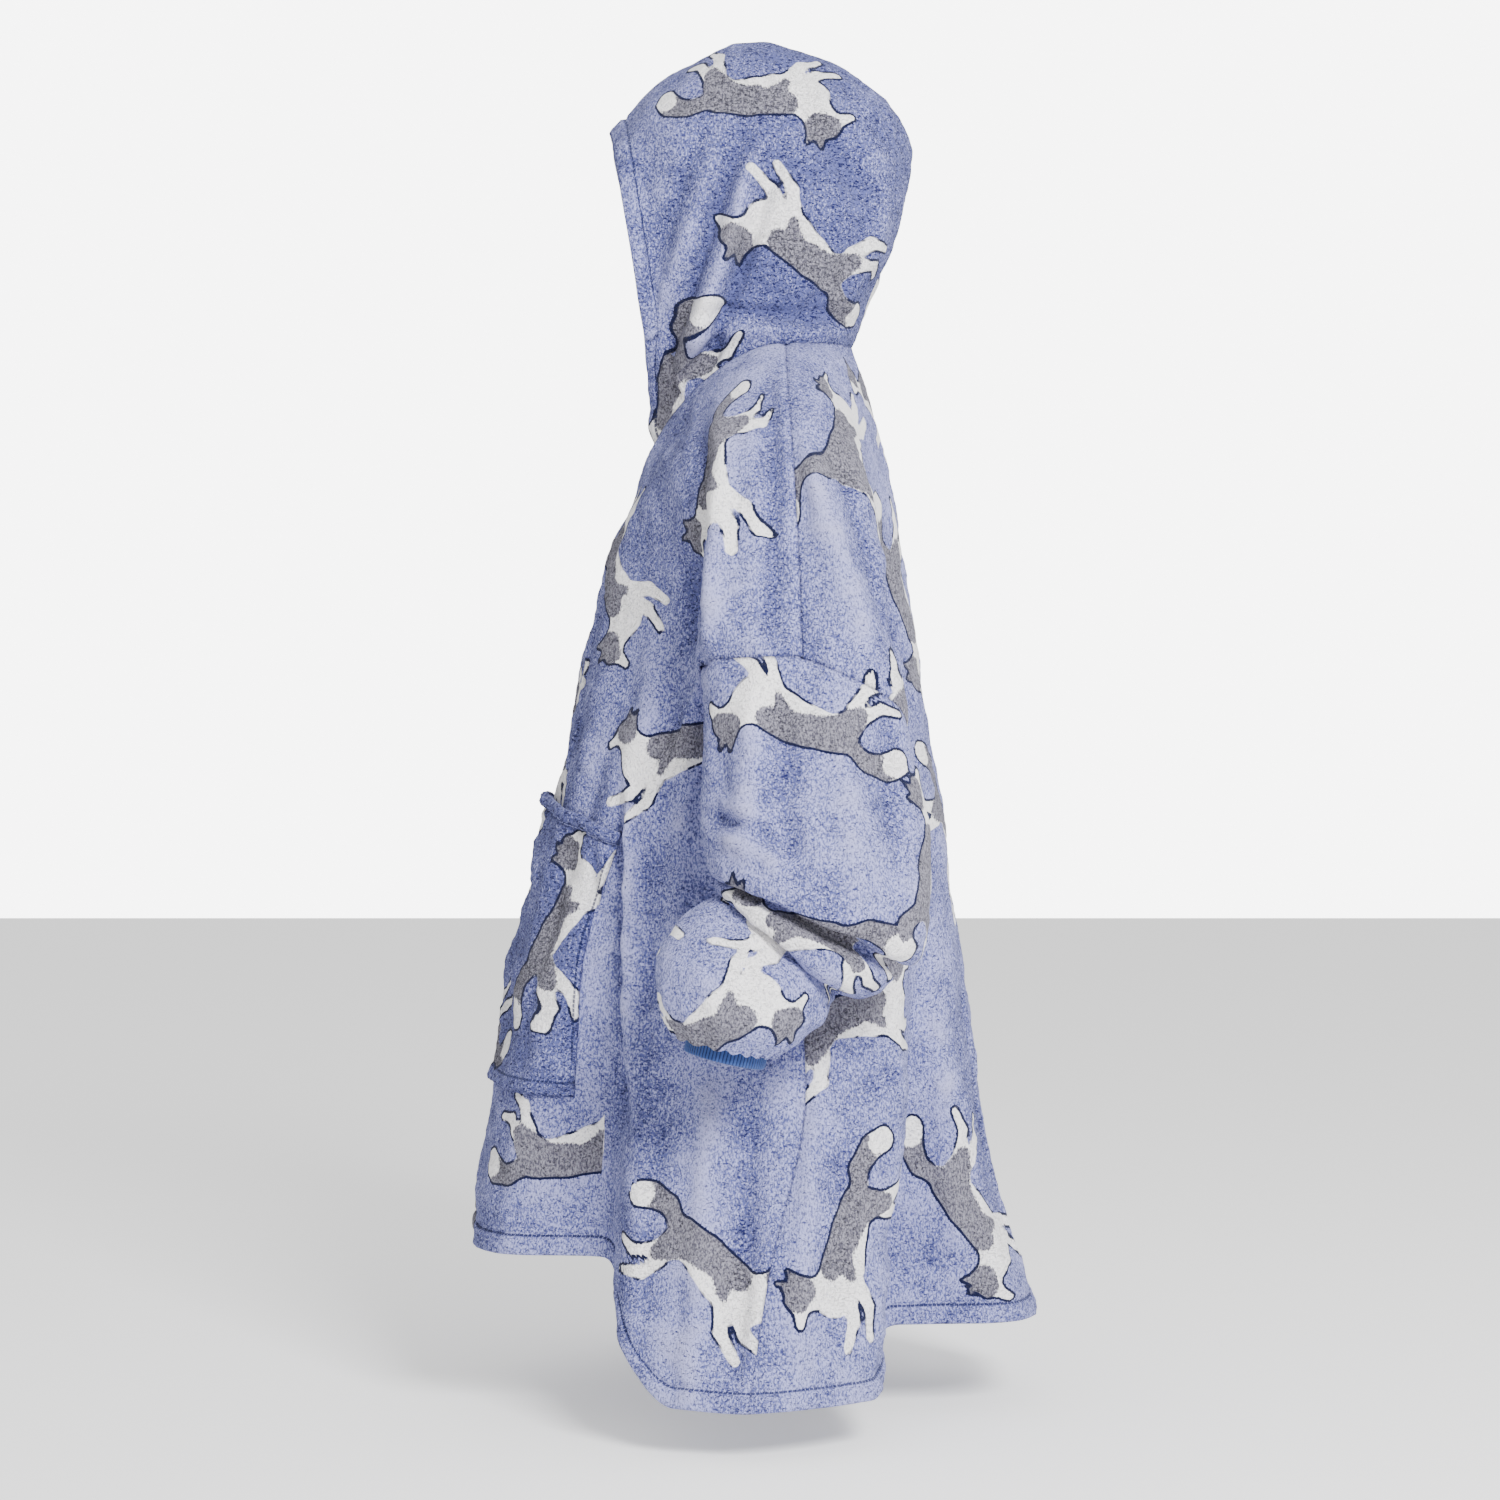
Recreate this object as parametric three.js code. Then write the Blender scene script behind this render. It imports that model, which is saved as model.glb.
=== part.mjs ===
// Wearable blanket hoodie: an oversized plush pullover with a hood, drop shoulders, full
// sleeves gathered into ribbed cuffs, and one wide pocket across the front.
// Millimetres, +Z up. The garment faces -Y and its left sleeve is at +X. The origin lies
// midway between the two points where the neck seam rests on the shoulders.
// Every piece is one wall of plush with a real thickness, hollow as it is worn.

import * as THREE from 'three';

// Driving dimensions
const WALL = 3; // plush fleece with its pile
const HEM_OUTSET = 1.4; // how far a turned hem stands out on each side of the wall
const STITCH_INSET = 0.5; // how deep a row of stitches pulls the pile in
const SEAM_GAP = 0.3;
const HEM_HEIGHT = 19;
const QUARTER_COLUMNS = 18; // from a centre line to the side seam
const ARM_COLUMNS = 9; // of those, the ones that the armhole takes
const ARM_START = (QUARTER_COLUMNS - ARM_COLUMNS) / QUARTER_COLUMNS;
const ARMHOLE_LEVEL = 5; // the level of the cape's last row and of the torso's first
const BELOW_ARMHOLE = 5.02; // where the folds that stop at the armhole are gone
const HEM_LEVEL = 11;
const UNDERARM_Z = -404; // the lowest point of the armhole
const UNDERARM_BLEND = 2.4; // levels below the armhole that still follow its curve
const SLEEVE_CLEARANCE = 2.5; // from the side of the body

// A table from the names of its columns and its rows of values
function tableOf(names, rows) {
  const columns = names.split(' ');
  return rows.map((row) => Object.fromEntries(columns.map((name, index) => [name, row[index]])));
}

// Plan and height of the garment at each level. A quarter runs from a centre line
// (front or back) to the side. A power under 1 squares the plan and over 1 slims it. The
// fall is the stretch of the quarter in which the line drops from centre to side.
// Above the armhole the side is the shoulder seam, and below it the side seam.
const PLAN = 'frontY frontZ sideX sideY sideZ backY backZ frontPower backPower';
const FALL = 'frontFallStart frontFallEnd backFallStart backFallEnd';
const CAPE = tableOf(`${PLAN} ${FALL}`, [
  [-127, -83, 98, 0, 5, 66, 10, 1, 1, 0, 1, 0, 1],
  [-147, -146, 150, 0, -20, 86, -62, 1, 0.95, 0, 1, 0, 1],
  [-170, -190, 207, 2, -62, 100, -135, 1, 0.9, 0, 1, 0, 1],
  [-182, -235, 258, 6, -130, 114, -212, 1.05, 0.9, 0, 1, 0.1, 1.02],
  [-192, -275, 290, 10, -212, 129, -300, 1.1, 0.9, 0, 1, 0.25, 1.04],
  [-199, -312, 312, 13, -298, 144, -392, 1.1, 0.9, 0, 1, 0.38, 1.06],
]);
const TORSO = tableOf(`${PLAN} ${FALL}`, [
  [-199, -312, 178, 13, -392, 144, -392, 0.8, 0.8, 0, 1, 0, 1],
  [-214, -385, 198, 13, -440, 153, -452, 0.8, 0.8, 0, 1, 0, 1],
  [-240, -505, 218, 13, -522, 166, -540, 0.88, 0.85, 0, 1, 0, 1],
  [-262, -600, 236, 14, -615, 178, -628, 0.95, 0.95, 0.1, 0.95, 0.1, 0.9],
  [-281, -700, 262, 14, -720, 191, -720, 1.02, 1.05, 0.25, 0.9, 0.2, 0.8],
  [-297, -783, 296, -16, -845, 210, -822, 1.16, 1.24, 0.42, 0.84, 0.35, 0.74],
  [-303, -851, 330, -36, -966, 243, -924, 1.28, 1.42, 0.5, 0.79, 0.42, 0.66],
]);

// Hanging folds. Each is a soft ridge (depth over 0) or valley (under 0) that starts at a
// level, is full at another, and lies at a fraction of the quarter from the centre line.
// It pushes outward in plan, or forward and backward only. Right scales it on that side.
const FOLDS = tableOf('name quarter push at width depth start full end right', [
  ['shoulder seam groove', 'both', 'outward', 1, 0.13, -13, 0.8, 5, 5.01, 1],
  ['armpit front', 'front', 'along', 0.48, 0.28, -54, 1, 5, 8, 0.98],
  ['arm front ridge', 'front', 'along', 0.68, 0.26, 12, 1, 4.5, 5.01, 1],
  ['armpit back', 'back', 'outward', 0.4, 0.2, -18, 1, 5, 8, 1.1],
  ['arm back ridge', 'back', 'along', 0.72, 0.24, 28, 1, 5, 5.01, 1],
  ['chest ridge', 'front', 'outward', 0.278, 0.07, 6, 4, 6, 9.5, 0.8],
  ['pocket side ridge', 'front', 'outward', 0.389, 0.07, 8, 3.6, 6, 12, 0.9],
  ['front lobe', 'front', 'outward', 0.3, 0.2, 22, 7, 11, 20, 0.9],
  ['front valley', 'front', 'outward', 0.52, 0.17, -50, 5.6, 11, 20, 1.08],
  ['side lobe front', 'front', 'outward', 0.68, 0.13, 4, 6, 11, 20, 1.8],
  ['side lobe back', 'back', 'outward', 0.68, 0.15, 3, 6.5, 11, 20, 2],
  ['back valley', 'back', 'outward', 0.46, 0.2, -80, 6, 11, 20, 0.92],
  ['back lobe', 'back', 'outward', 0.24, 0.18, 16, 7, 11, 20, 1.05],
]);

// Left sleeve below its seam: front and back edges, inner and outer faces, and how much
// lower the inner face is, from the long underarm. The sleeve hangs full over the elbow,
// folds twice there, and blouses over the cuff.
const SLEEVE = tableOf('frontY frontZ backY backZ innerX outerX innerDrop', [
  [-77, -348, 114, -398, 196, 327, 46],
  [-78, -398, 125, -440, 206, 346, 24],
  [-76, -448, 127, -485, 214, 364, 8],
  [-71, -480, 122, -542, 222, 378, 0],
  [-64, -494, 110, -570, 228, 376, 0],
  [-54, -492, 84, -566, 240, 352, 0],
  [-64, -502, 93, -586, 232, 370, 0],
  [-60, -512, 66, -604, 238, 364, 0],
  [-58, -507, 40, -594, 250, 344, 0],
  [-86, -524, 42, -604, 244, 368, 0],
  [-112, -560, 36, -616, 248, 384, 0],
  [-116, -602, 18, -632, 256, 386, 0],
  [-103, -632, -12, -652, 276, 374, 0],
]);

const SLEEVE_HEAD = [0.15, 0.4, 0.7]; // places of the rings between seam and first row

// Ribbed cuff, a short tube whose top is sewn inside the bloused sleeve
const CUFF_RADIUS = 36;
const CUFF_HEIGHT = 46;
const CUFF_WALL = 2.5;
const CUFF_RIBS = 36;
const RIB_RISE = 0.7;
const CUFF_CENTRE = new THREE.Vector3(325, -57, -655); // of its lower edge
const CUFF_LEAN = THREE.MathUtils.degToRad(13.5); // its axis leans back as it rises
const SLEEVE_RETURN = 2; // how far the turned-in sleeve stands off the cuff

// Hood, as seen from the side: its face edge with the half width there, its crown seam
// and its nape seam
const FACE_EDGE = tableOf('y z x', [
  [-127, -83, 0],
  [-131, -40, 44],
  [-137, 20, 72],
  [-146, 82, 86],
  [-156, 140, 84],
  [-165, 190, 62],
  [-171, 224, 0],
]);
const CROWN_SEAM = tableOf('y z', [
  [-171, 224],
  [-121, 273],
  [-60, 300],
  [-10, 306],
  [48, 288],
  [98, 248],
  [125, 203],
]);
const NAPE_SEAM = tableOf('y z', [
  [66, 10],
  [81, 55],
  [104, 112],
  [120, 165],
  [125, 203],
]);
const HOOD_HALF_WIDTH = 116;
const HOOD_WIDEST = 0.38; // fraction from the face edge to the nape
const HOOD_FILLED = 0.42; // fraction of its height at which it reaches its full width
const HOOD_BACK_POWER = 2.3; // its roundness towards the nape
const HOOD_TOP_POWER = 2.8; // its roundness towards the crown
const HOOD_ROWS = 12;
const HOOD_ROW_POWER = 1.15; // its rows lie closer together at the crown
// Its columns lie on the body's own at the neck, closer together in the face hem
const FACE_HEM = tableOf('column outset', [
  [0, HEM_OUTSET / 2],
  [1, HEM_OUTSET],
  [2, HEM_OUTSET],
  [3, -STITCH_INSET],
  [4, 0],
]);
const HOOD_FOLDS = [
  { name: 'cheek ridge', along: 0.3, width: 0.13, depth: 7, low: 0.1, high: 0.85, lean: -0.12 },
  { name: 'cheek valley', along: 0.16, width: 0.1, depth: -6, low: 0.15, high: 0.8, lean: -0.1 },
  { name: 'back hollow', along: 0.78, width: 0.14, depth: -5, low: 0.1, high: 0.6, lean: 0.1 },
];
const COLLAR_WRINKLES = [
  { up: 0.1, width: 0.05, depth: -4 },
  { up: 0.19, width: 0.05, depth: 3 },
];

// Pocket: its heights at the centre line and at its corners
const POCKET = { topCentre: -425, topCorner: -459, bottomCentre: -702, bottomCorner: -706 };
const POCKET_COLUMNS = 8; // of the panel's own, on each side of the centre line
const POCKET_ROWS = [0, 0.035, 0.08, 0.12, 0.3, 0.5, 0.7, 0.86, 0.94, 1];
const POCKET_SEAT = 1.2; // its pile lies so far off the panel's
const POCKET_BULGE = 2.5;
const POCKET_HEM_RISE = 1.8;

const PLUSH = { color: 0x8593bf, roughness: 1, metalness: 0 };
const RIB = { color: 0x3f5c99, roughness: 0.95, metalness: 0 };

// Small sums shared by all pieces
const mix = (a, b, t) => a + (b - a) * t;

function smooth(t) {
  const u = Math.min(Math.max(t, 0), 1);
  return u * u * (3 - 2 * u);
}

function bump(distance, width) {
  const u = Math.abs(distance / width);
  return u >= 1 ? 0 : Math.cos((Math.PI * u) / 2) ** 2;
}

// A column of a table read at a fractional row, as a smooth curve through its rows
function column(table, name, position) {
  const last = table.length - 1;
  const place = Math.min(Math.max(position, 0), last);
  const index = Math.min(Math.floor(place), last - 1);
  const t = place - index;
  const p1 = table[index][name];
  const p2 = table[index + 1][name];
  const p0 = index > 0 ? table[index - 1][name] : 2 * p1 - p2;
  const p3 = index + 2 <= last ? table[index + 2][name] : 2 * p2 - p1;
  const slope = (p2 - p0) * t;
  const bend = (2 * p0 - 5 * p1 + 4 * p2 - p3) * t * t;
  const twist = (3 * p1 - p0 - 3 * p2 + p3) * t * t * t;
  return (2 * p1 + slope + bend + twist) / 2;
}

// Body surface
function outward(quarter, s) {
  const theta = (s * Math.PI) / 2;
  const along = quarter === 'front' ? -Math.cos(theta) : Math.cos(theta);
  return new THREE.Vector3(Math.sin(theta), along, 0);
}

function foldPush(quarter, side, s, level) {
  const push = new THREE.Vector3();
  const sideways = outward(quarter, s);
  const lengthways = new THREE.Vector3(0, quarter === 'front' ? -1 : 1, 0);
  for (const fold of FOLDS) {
    const applies = fold.quarter === 'both' || fold.quarter === quarter;
    if (!applies || level < fold.start || level >= fold.end) {
      continue;
    }
    const grown = smooth((level - fold.start) / (fold.full - fold.start));
    const faded = smooth((level - fold.full) / (fold.end - fold.full));
    const scale = side > 0 ? 1 : fold.right;
    const depth = fold.depth * scale * grown * (1 - faded) * bump(s - fold.at, fold.width);
    push.addScaledVector(fold.push === 'along' ? lengthways : sideways, depth);
  }
  return push;
}

function planPoint(table, row, quarter, s) {
  const theta = (s * Math.PI) / 2;
  const power = column(table, `${quarter}Power`, row);
  const sideY = column(table, 'sideY', row);
  const sideZ = column(table, 'sideZ', row);
  const centreY = column(table, `${quarter}Y`, row);
  const centreZ = column(table, `${quarter}Z`, row);
  const x = column(table, 'sideX', row) * Math.sin(theta) ** power;
  const y = mix(sideY, centreY, Math.max(Math.cos(theta), 0) ** power);
  const fallStart = column(table, `${quarter}FallStart`, row);
  const fallEnd = column(table, `${quarter}FallEnd`, row);
  const z = mix(centreZ, sideZ, smooth((s - fallStart) / (fallEnd - fallStart)));
  return new THREE.Vector3(x, y, z);
}

function capePoint(quarter, side, s, level) {
  return planPoint(CAPE, level, quarter, s).add(foldPush(quarter, side, s, level));
}

// The armhole's lower arc, from its front or back point down under the arm
function underarmPoint(quarter, side, s) {
  const start = capePoint(quarter, side, ARM_START, ARMHOLE_LEVEL);
  const low = TORSO[0];
  const share = (s - ARM_START) / (1 - ARM_START);
  const eased = Math.sin((share * Math.PI) / 2);
  const x = mix(start.x, low.sideX, eased);
  const y = mix(start.y, low.sideY, share);
  const z = mix(start.z, UNDERARM_Z, eased);
  return new THREE.Vector3(x, y, z);
}

function torsoPoint(quarter, side, s, level) {
  const point = planPoint(TORSO, level - ARMHOLE_LEVEL, quarter, s);
  const weight = 1 - smooth((level - ARMHOLE_LEVEL) / UNDERARM_BLEND);
  if (weight > 0) {
    const inArm = s > ARM_START + 1e-9;
    const shape = inArm ? underarmPoint : capePoint;
    const edge = shape(quarter, side, s, ARMHOLE_LEVEL);
    const plain = planPoint(TORSO, 0, quarter, s).add(foldPush(quarter, side, s, BELOW_ARMHOLE));
    point.addScaledVector(edge.sub(plain), weight);
  }
  return point.add(foldPush(quarter, side, s, Math.max(level, BELOW_ARMHOLE)));
}

function bodyPoint(quarter, side, s, level) {
  const shape = level < ARMHOLE_LEVEL ? capePoint : torsoPoint;
  return shape(quarter, side, s, level);
}

// The level at which a line down the body reaches a height
function levelAtHeight(quarter, side, s, height) {
  let high = ARMHOLE_LEVEL;
  let low = HEM_LEVEL;
  for (let step = 0; step < 30; step += 1) {
    const middle = (high + low) / 2;
    if (bodyPoint(quarter, side, s, middle).z > height) {
      high = middle;
    } else {
      low = middle;
    }
  }
  return (high + low) / 2;
}

// Sheets: a surface of shared points that becomes a closed wall
const seamNormals = new Map();
const fixedNormals = new Map();
const KEY_OFFSET = 0.137; // keeps round numbers off the edge between two keys
const keyOf = (point) => point.toArray().map((value) => Math.round(value * 500 + KEY_OFFSET)).join();

// Both pieces at a seam split its strip along the same diagonal
function isHigher(a, b) {
  return Math.abs(a.z - b.z) > 1e-4 ? a.z > b.z : a.y > b.y;
}

class Sheet {
  constructor(name, finish) {
    this.name = name;
    this.finish = finish;
    this.points = [];
    this.outsets = [];
    this.indexOf = new Map();
    this.faces = [];
    this.neckGapScale = 1;
    this.plainInside = false;
  }

  addPoint(point, outset) {
    const key = keyOf(point);
    if (!this.indexOf.has(key)) {
      this.indexOf.set(key, this.points.length);
      this.points.push(point);
      this.outsets.push(outset);
    }
    return this.indexOf.get(key);
  }

  // Rows run down and columns run anticlockwise seen from above, so faces look outward
  addGrid(rows, outsetOf = () => 0, flip = false) {
    const indices = rows.map((row, r) => row.map((point, c) => this.addPoint(point, outsetOf(r, c))));
    for (let r = 0; r + 1 < rows.length; r += 1) {
      for (let c = 0; c + 1 < rows[r].length; c += 1) {
        const a = indices[r][c];
        const b = indices[r + 1][c];
        const d = indices[r][c + 1];
        const e = indices[r + 1][c + 1];
        this.addFace(a, b, e, flip);
        this.addFace(a, e, d, flip);
      }
    }
  }

  addFace(a, b, c, flip) {
    if (a === b || b === c || a === c) {
      return;
    }
    const face = flip ? [a, c, b] : [a, b, c];
    this.faces.push(face);
    const [p, q, r] = face.map((index) => this.points[index]);
    const edge = new THREE.Vector3().subVectors(q, p);
    const normal = edge.cross(new THREE.Vector3().subVectors(r, p));
    for (const point of [p, q, r]) {
      const key = keyOf(point);
      const sum = seamNormals.get(key) ?? new THREE.Vector3();
      seamNormals.set(key, sum.add(normal));
    }
  }

  // Directed edges that only one face uses
  border() {
    const edges = new Map();
    for (const [a, b, c] of this.faces) {
      for (const [from, to] of [[a, b], [b, c], [c, a]]) {
        if (!edges.delete(`${to},${from}`)) {
          edges.set(`${from},${to}`, [from, to]);
        }
      }
    }
    return [...edges.values()];
  }

  // Towards the middle of the piece, square to each border edge and to the wall's normal
  shrinkDirections(border, normals) {
    const directions = new Map(border.flat().map((index) => [index, new THREE.Vector3()]));
    for (const [from, to] of border) {
      const edge = new THREE.Vector3().subVectors(this.points[to], this.points[from]).normalize();
      const normal = new THREE.Vector3().addVectors(normals[from], normals[to]);
      const inward = normal.cross(edge).normalize();
      directions.get(from).add(inward);
      directions.get(to).add(inward);
    }
    for (const [index, direction] of directions) {
      const atNeck = fixedNormals.get(keyOf(this.points[index]))?.z > 0;
      direction.normalize().multiplyScalar(atNeck ? this.neckGapScale : 1);
    }
    return directions;
  }

  mesh() {
    const border = this.border();
    const normals = this.points.map((point) => {
      const key = keyOf(point);
      return (fixedNormals.get(key) ?? seamNormals.get(key)).clone().normalize();
    });
    const shrink = this.shrinkDirections(border, normals);
    const outer = [];
    const inner = [];
    this.points.forEach((point, index) => {
      const normal = normals[index];
      const place = point.clone();
      if (shrink.has(index)) {
        place.addScaledVector(shrink.get(index), SEAM_GAP / 2);
      }
      const outset = this.outsets[index];
      const inset = this.plainInside ? 0 : Math.max(outset, 0);
      outer.push(place.clone().addScaledVector(normal, outset));
      inner.push(place.clone().addScaledVector(normal, -WALL - inset));
    });
    const count = outer.length;
    const triangles = [];
    for (const [a, b, c] of this.faces) {
      triangles.push(a, b, c, a + count, c + count, b + count);
    }
    for (const [a, b] of border) {
      if (isHigher(this.points[a], this.points[b])) {
        triangles.push(b, a, b + count, a, a + count, b + count);
      } else {
        triangles.push(b, a, a + count, b, a + count, b + count);
      }
    }
    const geometry = new THREE.BufferGeometry();
    const values = [...outer, ...inner].flatMap((point) => point.toArray());
    geometry.setAttribute('position', new THREE.Float32BufferAttribute(values, 3));
    geometry.setIndex(triangles);
    geometry.computeVertexNormals();
    const mesh = new THREE.Mesh(geometry, new THREE.MeshStandardMaterial(this.finish));
    mesh.name = this.name;
    return mesh;
  }
}

function mirrored(point, side) {
  return new THREE.Vector3(point.x * side, point.y, point.z);
}

// Front and back panels
const CAPE_LEVELS = [0, 0.35, 0.9, 1.5, 2.1, 2.7, 3.3, 3.9, 4.5, 5];
const TORSO_FRACTIONS = [0, 0.02, 0.06, 0.12, 0.2, 0.29, 0.38, 0.48, 0.58, 0.68, 0.78, 0.89, 1];
const HEM_HEIGHTS = [HEM_HEIGHT + 3, HEM_HEIGHT, HEM_HEIGHT - 4, 4, 0];
const HEM_OUTSETS = [0, -STITCH_INSET, HEM_OUTSET, HEM_OUTSET, HEM_OUTSET / 2];

function panelRow(quarter, pointAt) {
  const row = [];
  for (let c = -QUARTER_COLUMNS; c <= QUARTER_COLUMNS; c += 1) {
    const turned = quarter === 'front' ? c : -c;
    const side = turned < 0 ? -1 : 1;
    row.push(mirrored(pointAt(side, Math.abs(turned) / QUARTER_COLUMNS), side));
  }
  return row;
}

function makePanel(quarter) {
  const panel = new Sheet(quarter, PLUSH);
  panel.addGrid(CAPE_LEVELS.map((level) => (
    panelRow(quarter, (side, s) => capePoint(quarter, side, s, level))
  )));
  const hemLevels = new Map();
  const levelAboveHem = (side, s, height) => {
    const key = [side, s, height].join();
    if (!hemLevels.has(key)) {
      const hem = torsoPoint(quarter, side, s, HEM_LEVEL).z;
      hemLevels.set(key, height > 0 ? levelAtHeight(quarter, side, s, hem + height) : HEM_LEVEL);
    }
    return hemLevels.get(key);
  };
  const rows = TORSO_FRACTIONS.slice(0, -1).map((fraction) => (
    panelRow(quarter, (side, s) => {
      const low = levelAboveHem(side, s, HEM_HEIGHTS[0]);
      return torsoPoint(quarter, side, s, mix(ARMHOLE_LEVEL, low, fraction));
    })
  ));
  const hemStart = rows.length;
  for (const height of HEM_HEIGHTS) {
    rows.push(panelRow(quarter, (side, s) => (
      torsoPoint(quarter, side, s, levelAboveHem(side, s, height))
    )));
  }
  panel.addGrid(rows, (r) => (r < hemStart ? 0 : HEM_OUTSETS[r - hemStart]));
  return panel;
}

// Around the neck seam the walls of hood and body meet along one slanted line
function fixNeckNormals() {
  for (const quarter of ['front', 'back']) {
    for (const side of [1, -1]) {
      for (let c = 0; c <= QUARTER_COLUMNS; c += 1) {
        const s = c / QUARTER_COLUMNS;
        const normal = outward(quarter, s).setZ(0.8).normalize();
        fixedNormals.set(keyOf(mirrored(capePoint(quarter, side, s, 0), side)), mirrored(normal, side));
      }
    }
  }
}

// Under the arm the walls of sleeve and body turn down side by side
function fixUnderarmNormals() {
  for (const quarter of ['front', 'back']) {
    for (const side of [1, -1]) {
      for (let c = 1; c <= ARM_COLUMNS; c += 1) {
        const turn = c / ARM_COLUMNS;
        const point = underarmPoint(quarter, side, mix(ARM_START, 1, turn));
        const normal = outward(quarter, ARM_START).multiplyScalar(1 - turn);
        normal.z = -1.2 * turn;
        fixedNormals.set(keyOf(mirrored(point, side)), mirrored(normal.normalize(), side));
      }
    }
  }
}

// Sleeves
function armholeRing(side) {
  const ring = [];
  const steps = [...Array(ARM_COLUMNS).keys()];
  const fraction = (step) => ARM_START + (step / ARM_COLUMNS) * (1 - ARM_START);
  steps.forEach((step) => ring.push(capePoint('front', side, fraction(step), ARMHOLE_LEVEL)));
  steps.forEach((step) => {
    ring.push(capePoint('back', side, fraction(ARM_COLUMNS - step), ARMHOLE_LEVEL));
  });
  steps.forEach((step) => {
    ring.push(step === 0
      ? capePoint('back', side, ARM_START, ARMHOLE_LEVEL)
      : underarmPoint('back', side, fraction(step)));
  });
  steps.forEach((step) => ring.push(underarmPoint('front', side, fraction(ARM_COLUMNS - step))));
  return ring;
}

const RING_COLUMNS = 4 * ARM_COLUMNS;

// The furthest out that the body reaches at a height, beside a place along Y
function torsoSideX(side, y, z) {
  let furthest = 0;
  for (const quarter of ['front', 'back']) {
    let before = null;
    for (let c = 0; c <= 3 * QUARTER_COLUMNS; c += 1) {
      const s = c / (3 * QUARTER_COLUMNS);
      const point = torsoPoint(quarter, side, s, levelAtHeight(quarter, side, s, z));
      if (before && (before.y - y) * (point.y - y) <= 0 && before.y !== point.y) {
        const t = (y - before.y) / (point.y - before.y);
        furthest = Math.max(furthest, mix(before.x, point.x, t));
      }
      before = point;
    }
  }
  return furthest;
}

function sleeveRing(side, position) {
  const ring = [];
  const read = (name) => column(SLEEVE, name, position);
  for (let c = 0; c < RING_COLUMNS; c += 1) {
    const angle = (c / RING_COLUMNS) * 2 * Math.PI;
    const backward = (1 - Math.cos(angle)) / 2;
    const outwardShare = (1 + Math.sin(angle)) / 2;
    const x = mix(read('innerX'), read('outerX'), outwardShare);
    const y = mix(read('frontY'), read('backY'), backward);
    const inward = Math.max(-Math.sin(angle), 0);
    const z = mix(read('frontZ'), read('backZ'), backward) - read('innerDrop') * inward ** 2;
    const point = new THREE.Vector3(x, y, z);
    if (inward > 0) {
      point.x = Math.max(x, torsoSideX(side, y, z) + SLEEVE_CLEARANCE);
    }
    ring.push(point);
  }
  return ring;
}

// Rings about the cuff's axis, from its lower edge up
function cuffPoint(angle, radius, rise) {
  const local = new THREE.Vector3(Math.sin(angle) * radius, -Math.cos(angle) * radius, rise);
  local.applyAxisAngle(new THREE.Vector3(1, 0, 0), -CUFF_LEAN);
  return local.add(CUFF_CENTRE);
}

function returnRing(radius, rise) {
  const ring = [];
  for (let c = 0; c < RING_COLUMNS; c += 1) {
    ring.push(cuffPoint((c / RING_COLUMNS) * 2 * Math.PI, radius, rise));
  }
  return ring;
}

// Just below the armhole the sleeve turns from the armhole's line into its first ring
function headRing(side, from, to, t) {
  return from.map((point, c) => {
    const place = point.clone().lerp(to[c], t);
    if (c > RING_COLUMNS / 2) {
      const beside = torsoSideX(side, place.y, place.z) + SLEEVE_CLEARANCE * t;
      place.x = Math.max(place.x, beside);
    }
    return place;
  });
}

function makeSleeve(side) {
  const sleeve = new Sheet(side > 0 ? 'sleeve_left' : 'sleeve_right', PLUSH);
  const top = armholeRing(side);
  const first = sleeveRing(side, 0);
  const rings = [top, ...SLEEVE_HEAD.map((t) => headRing(side, top, first, t)), first];
  for (let r = 1; r < SLEEVE.length; r += 1) {
    rings.push(sleeveRing(side, r));
  }
  const snug = CUFF_RADIUS + RIB_RISE + SEAM_GAP;
  rings.push(returnRing(snug + SLEEVE_RETURN + WALL, CUFF_HEIGHT * 0.42));
  rings.push(returnRing(snug + SLEEVE_RETURN, CUFF_HEIGHT * 0.55));
  rings.push(returnRing(snug, CUFF_HEIGHT - 1));
  const closed = rings.map((ring) => [...ring, ring[0]].map((point) => mirrored(point, side)));
  sleeve.addGrid(closed, () => 0, side < 0);
  return sleeve;
}

function makeCuff(side) {
  const triangles = [];
  const points = [];
  const columns = 2 * CUFF_RIBS;
  const rings = [
    { rise: 0, radius: CUFF_RADIUS, ribbed: true },
    { rise: CUFF_HEIGHT, radius: CUFF_RADIUS, ribbed: true },
    { rise: CUFF_HEIGHT, radius: CUFF_RADIUS - CUFF_WALL, ribbed: false },
    { rise: 0, radius: CUFF_RADIUS - CUFF_WALL, ribbed: false },
  ];
  for (const ring of rings) {
    for (let c = 0; c < columns; c += 1) {
      const rib = ring.ribbed && c % 2 === 0 ? RIB_RISE : 0;
      const point = cuffPoint((c / columns) * 2 * Math.PI, ring.radius + rib, ring.rise);
      points.push(mirrored(point, side));
    }
  }
  rings.forEach((ring, r) => {
    const next = (r + 1) % rings.length;
    for (let c = 0; c < columns; c += 1) {
      const a = r * columns + c;
      const b = r * columns + ((c + 1) % columns);
      const d = next * columns + c;
      const e = next * columns + ((c + 1) % columns);
      triangles.push(...(side > 0 ? [a, b, e, a, e, d] : [a, e, b, a, d, e]));
    }
  });
  const geometry = new THREE.BufferGeometry().setFromPoints(points);
  geometry.setIndex(triangles);
  geometry.computeVertexNormals();
  const mesh = new THREE.Mesh(geometry, new THREE.MeshStandardMaterial(RIB));
  mesh.name = side > 0 ? 'cuff_left' : 'cuff_right';
  return mesh;
}

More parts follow.
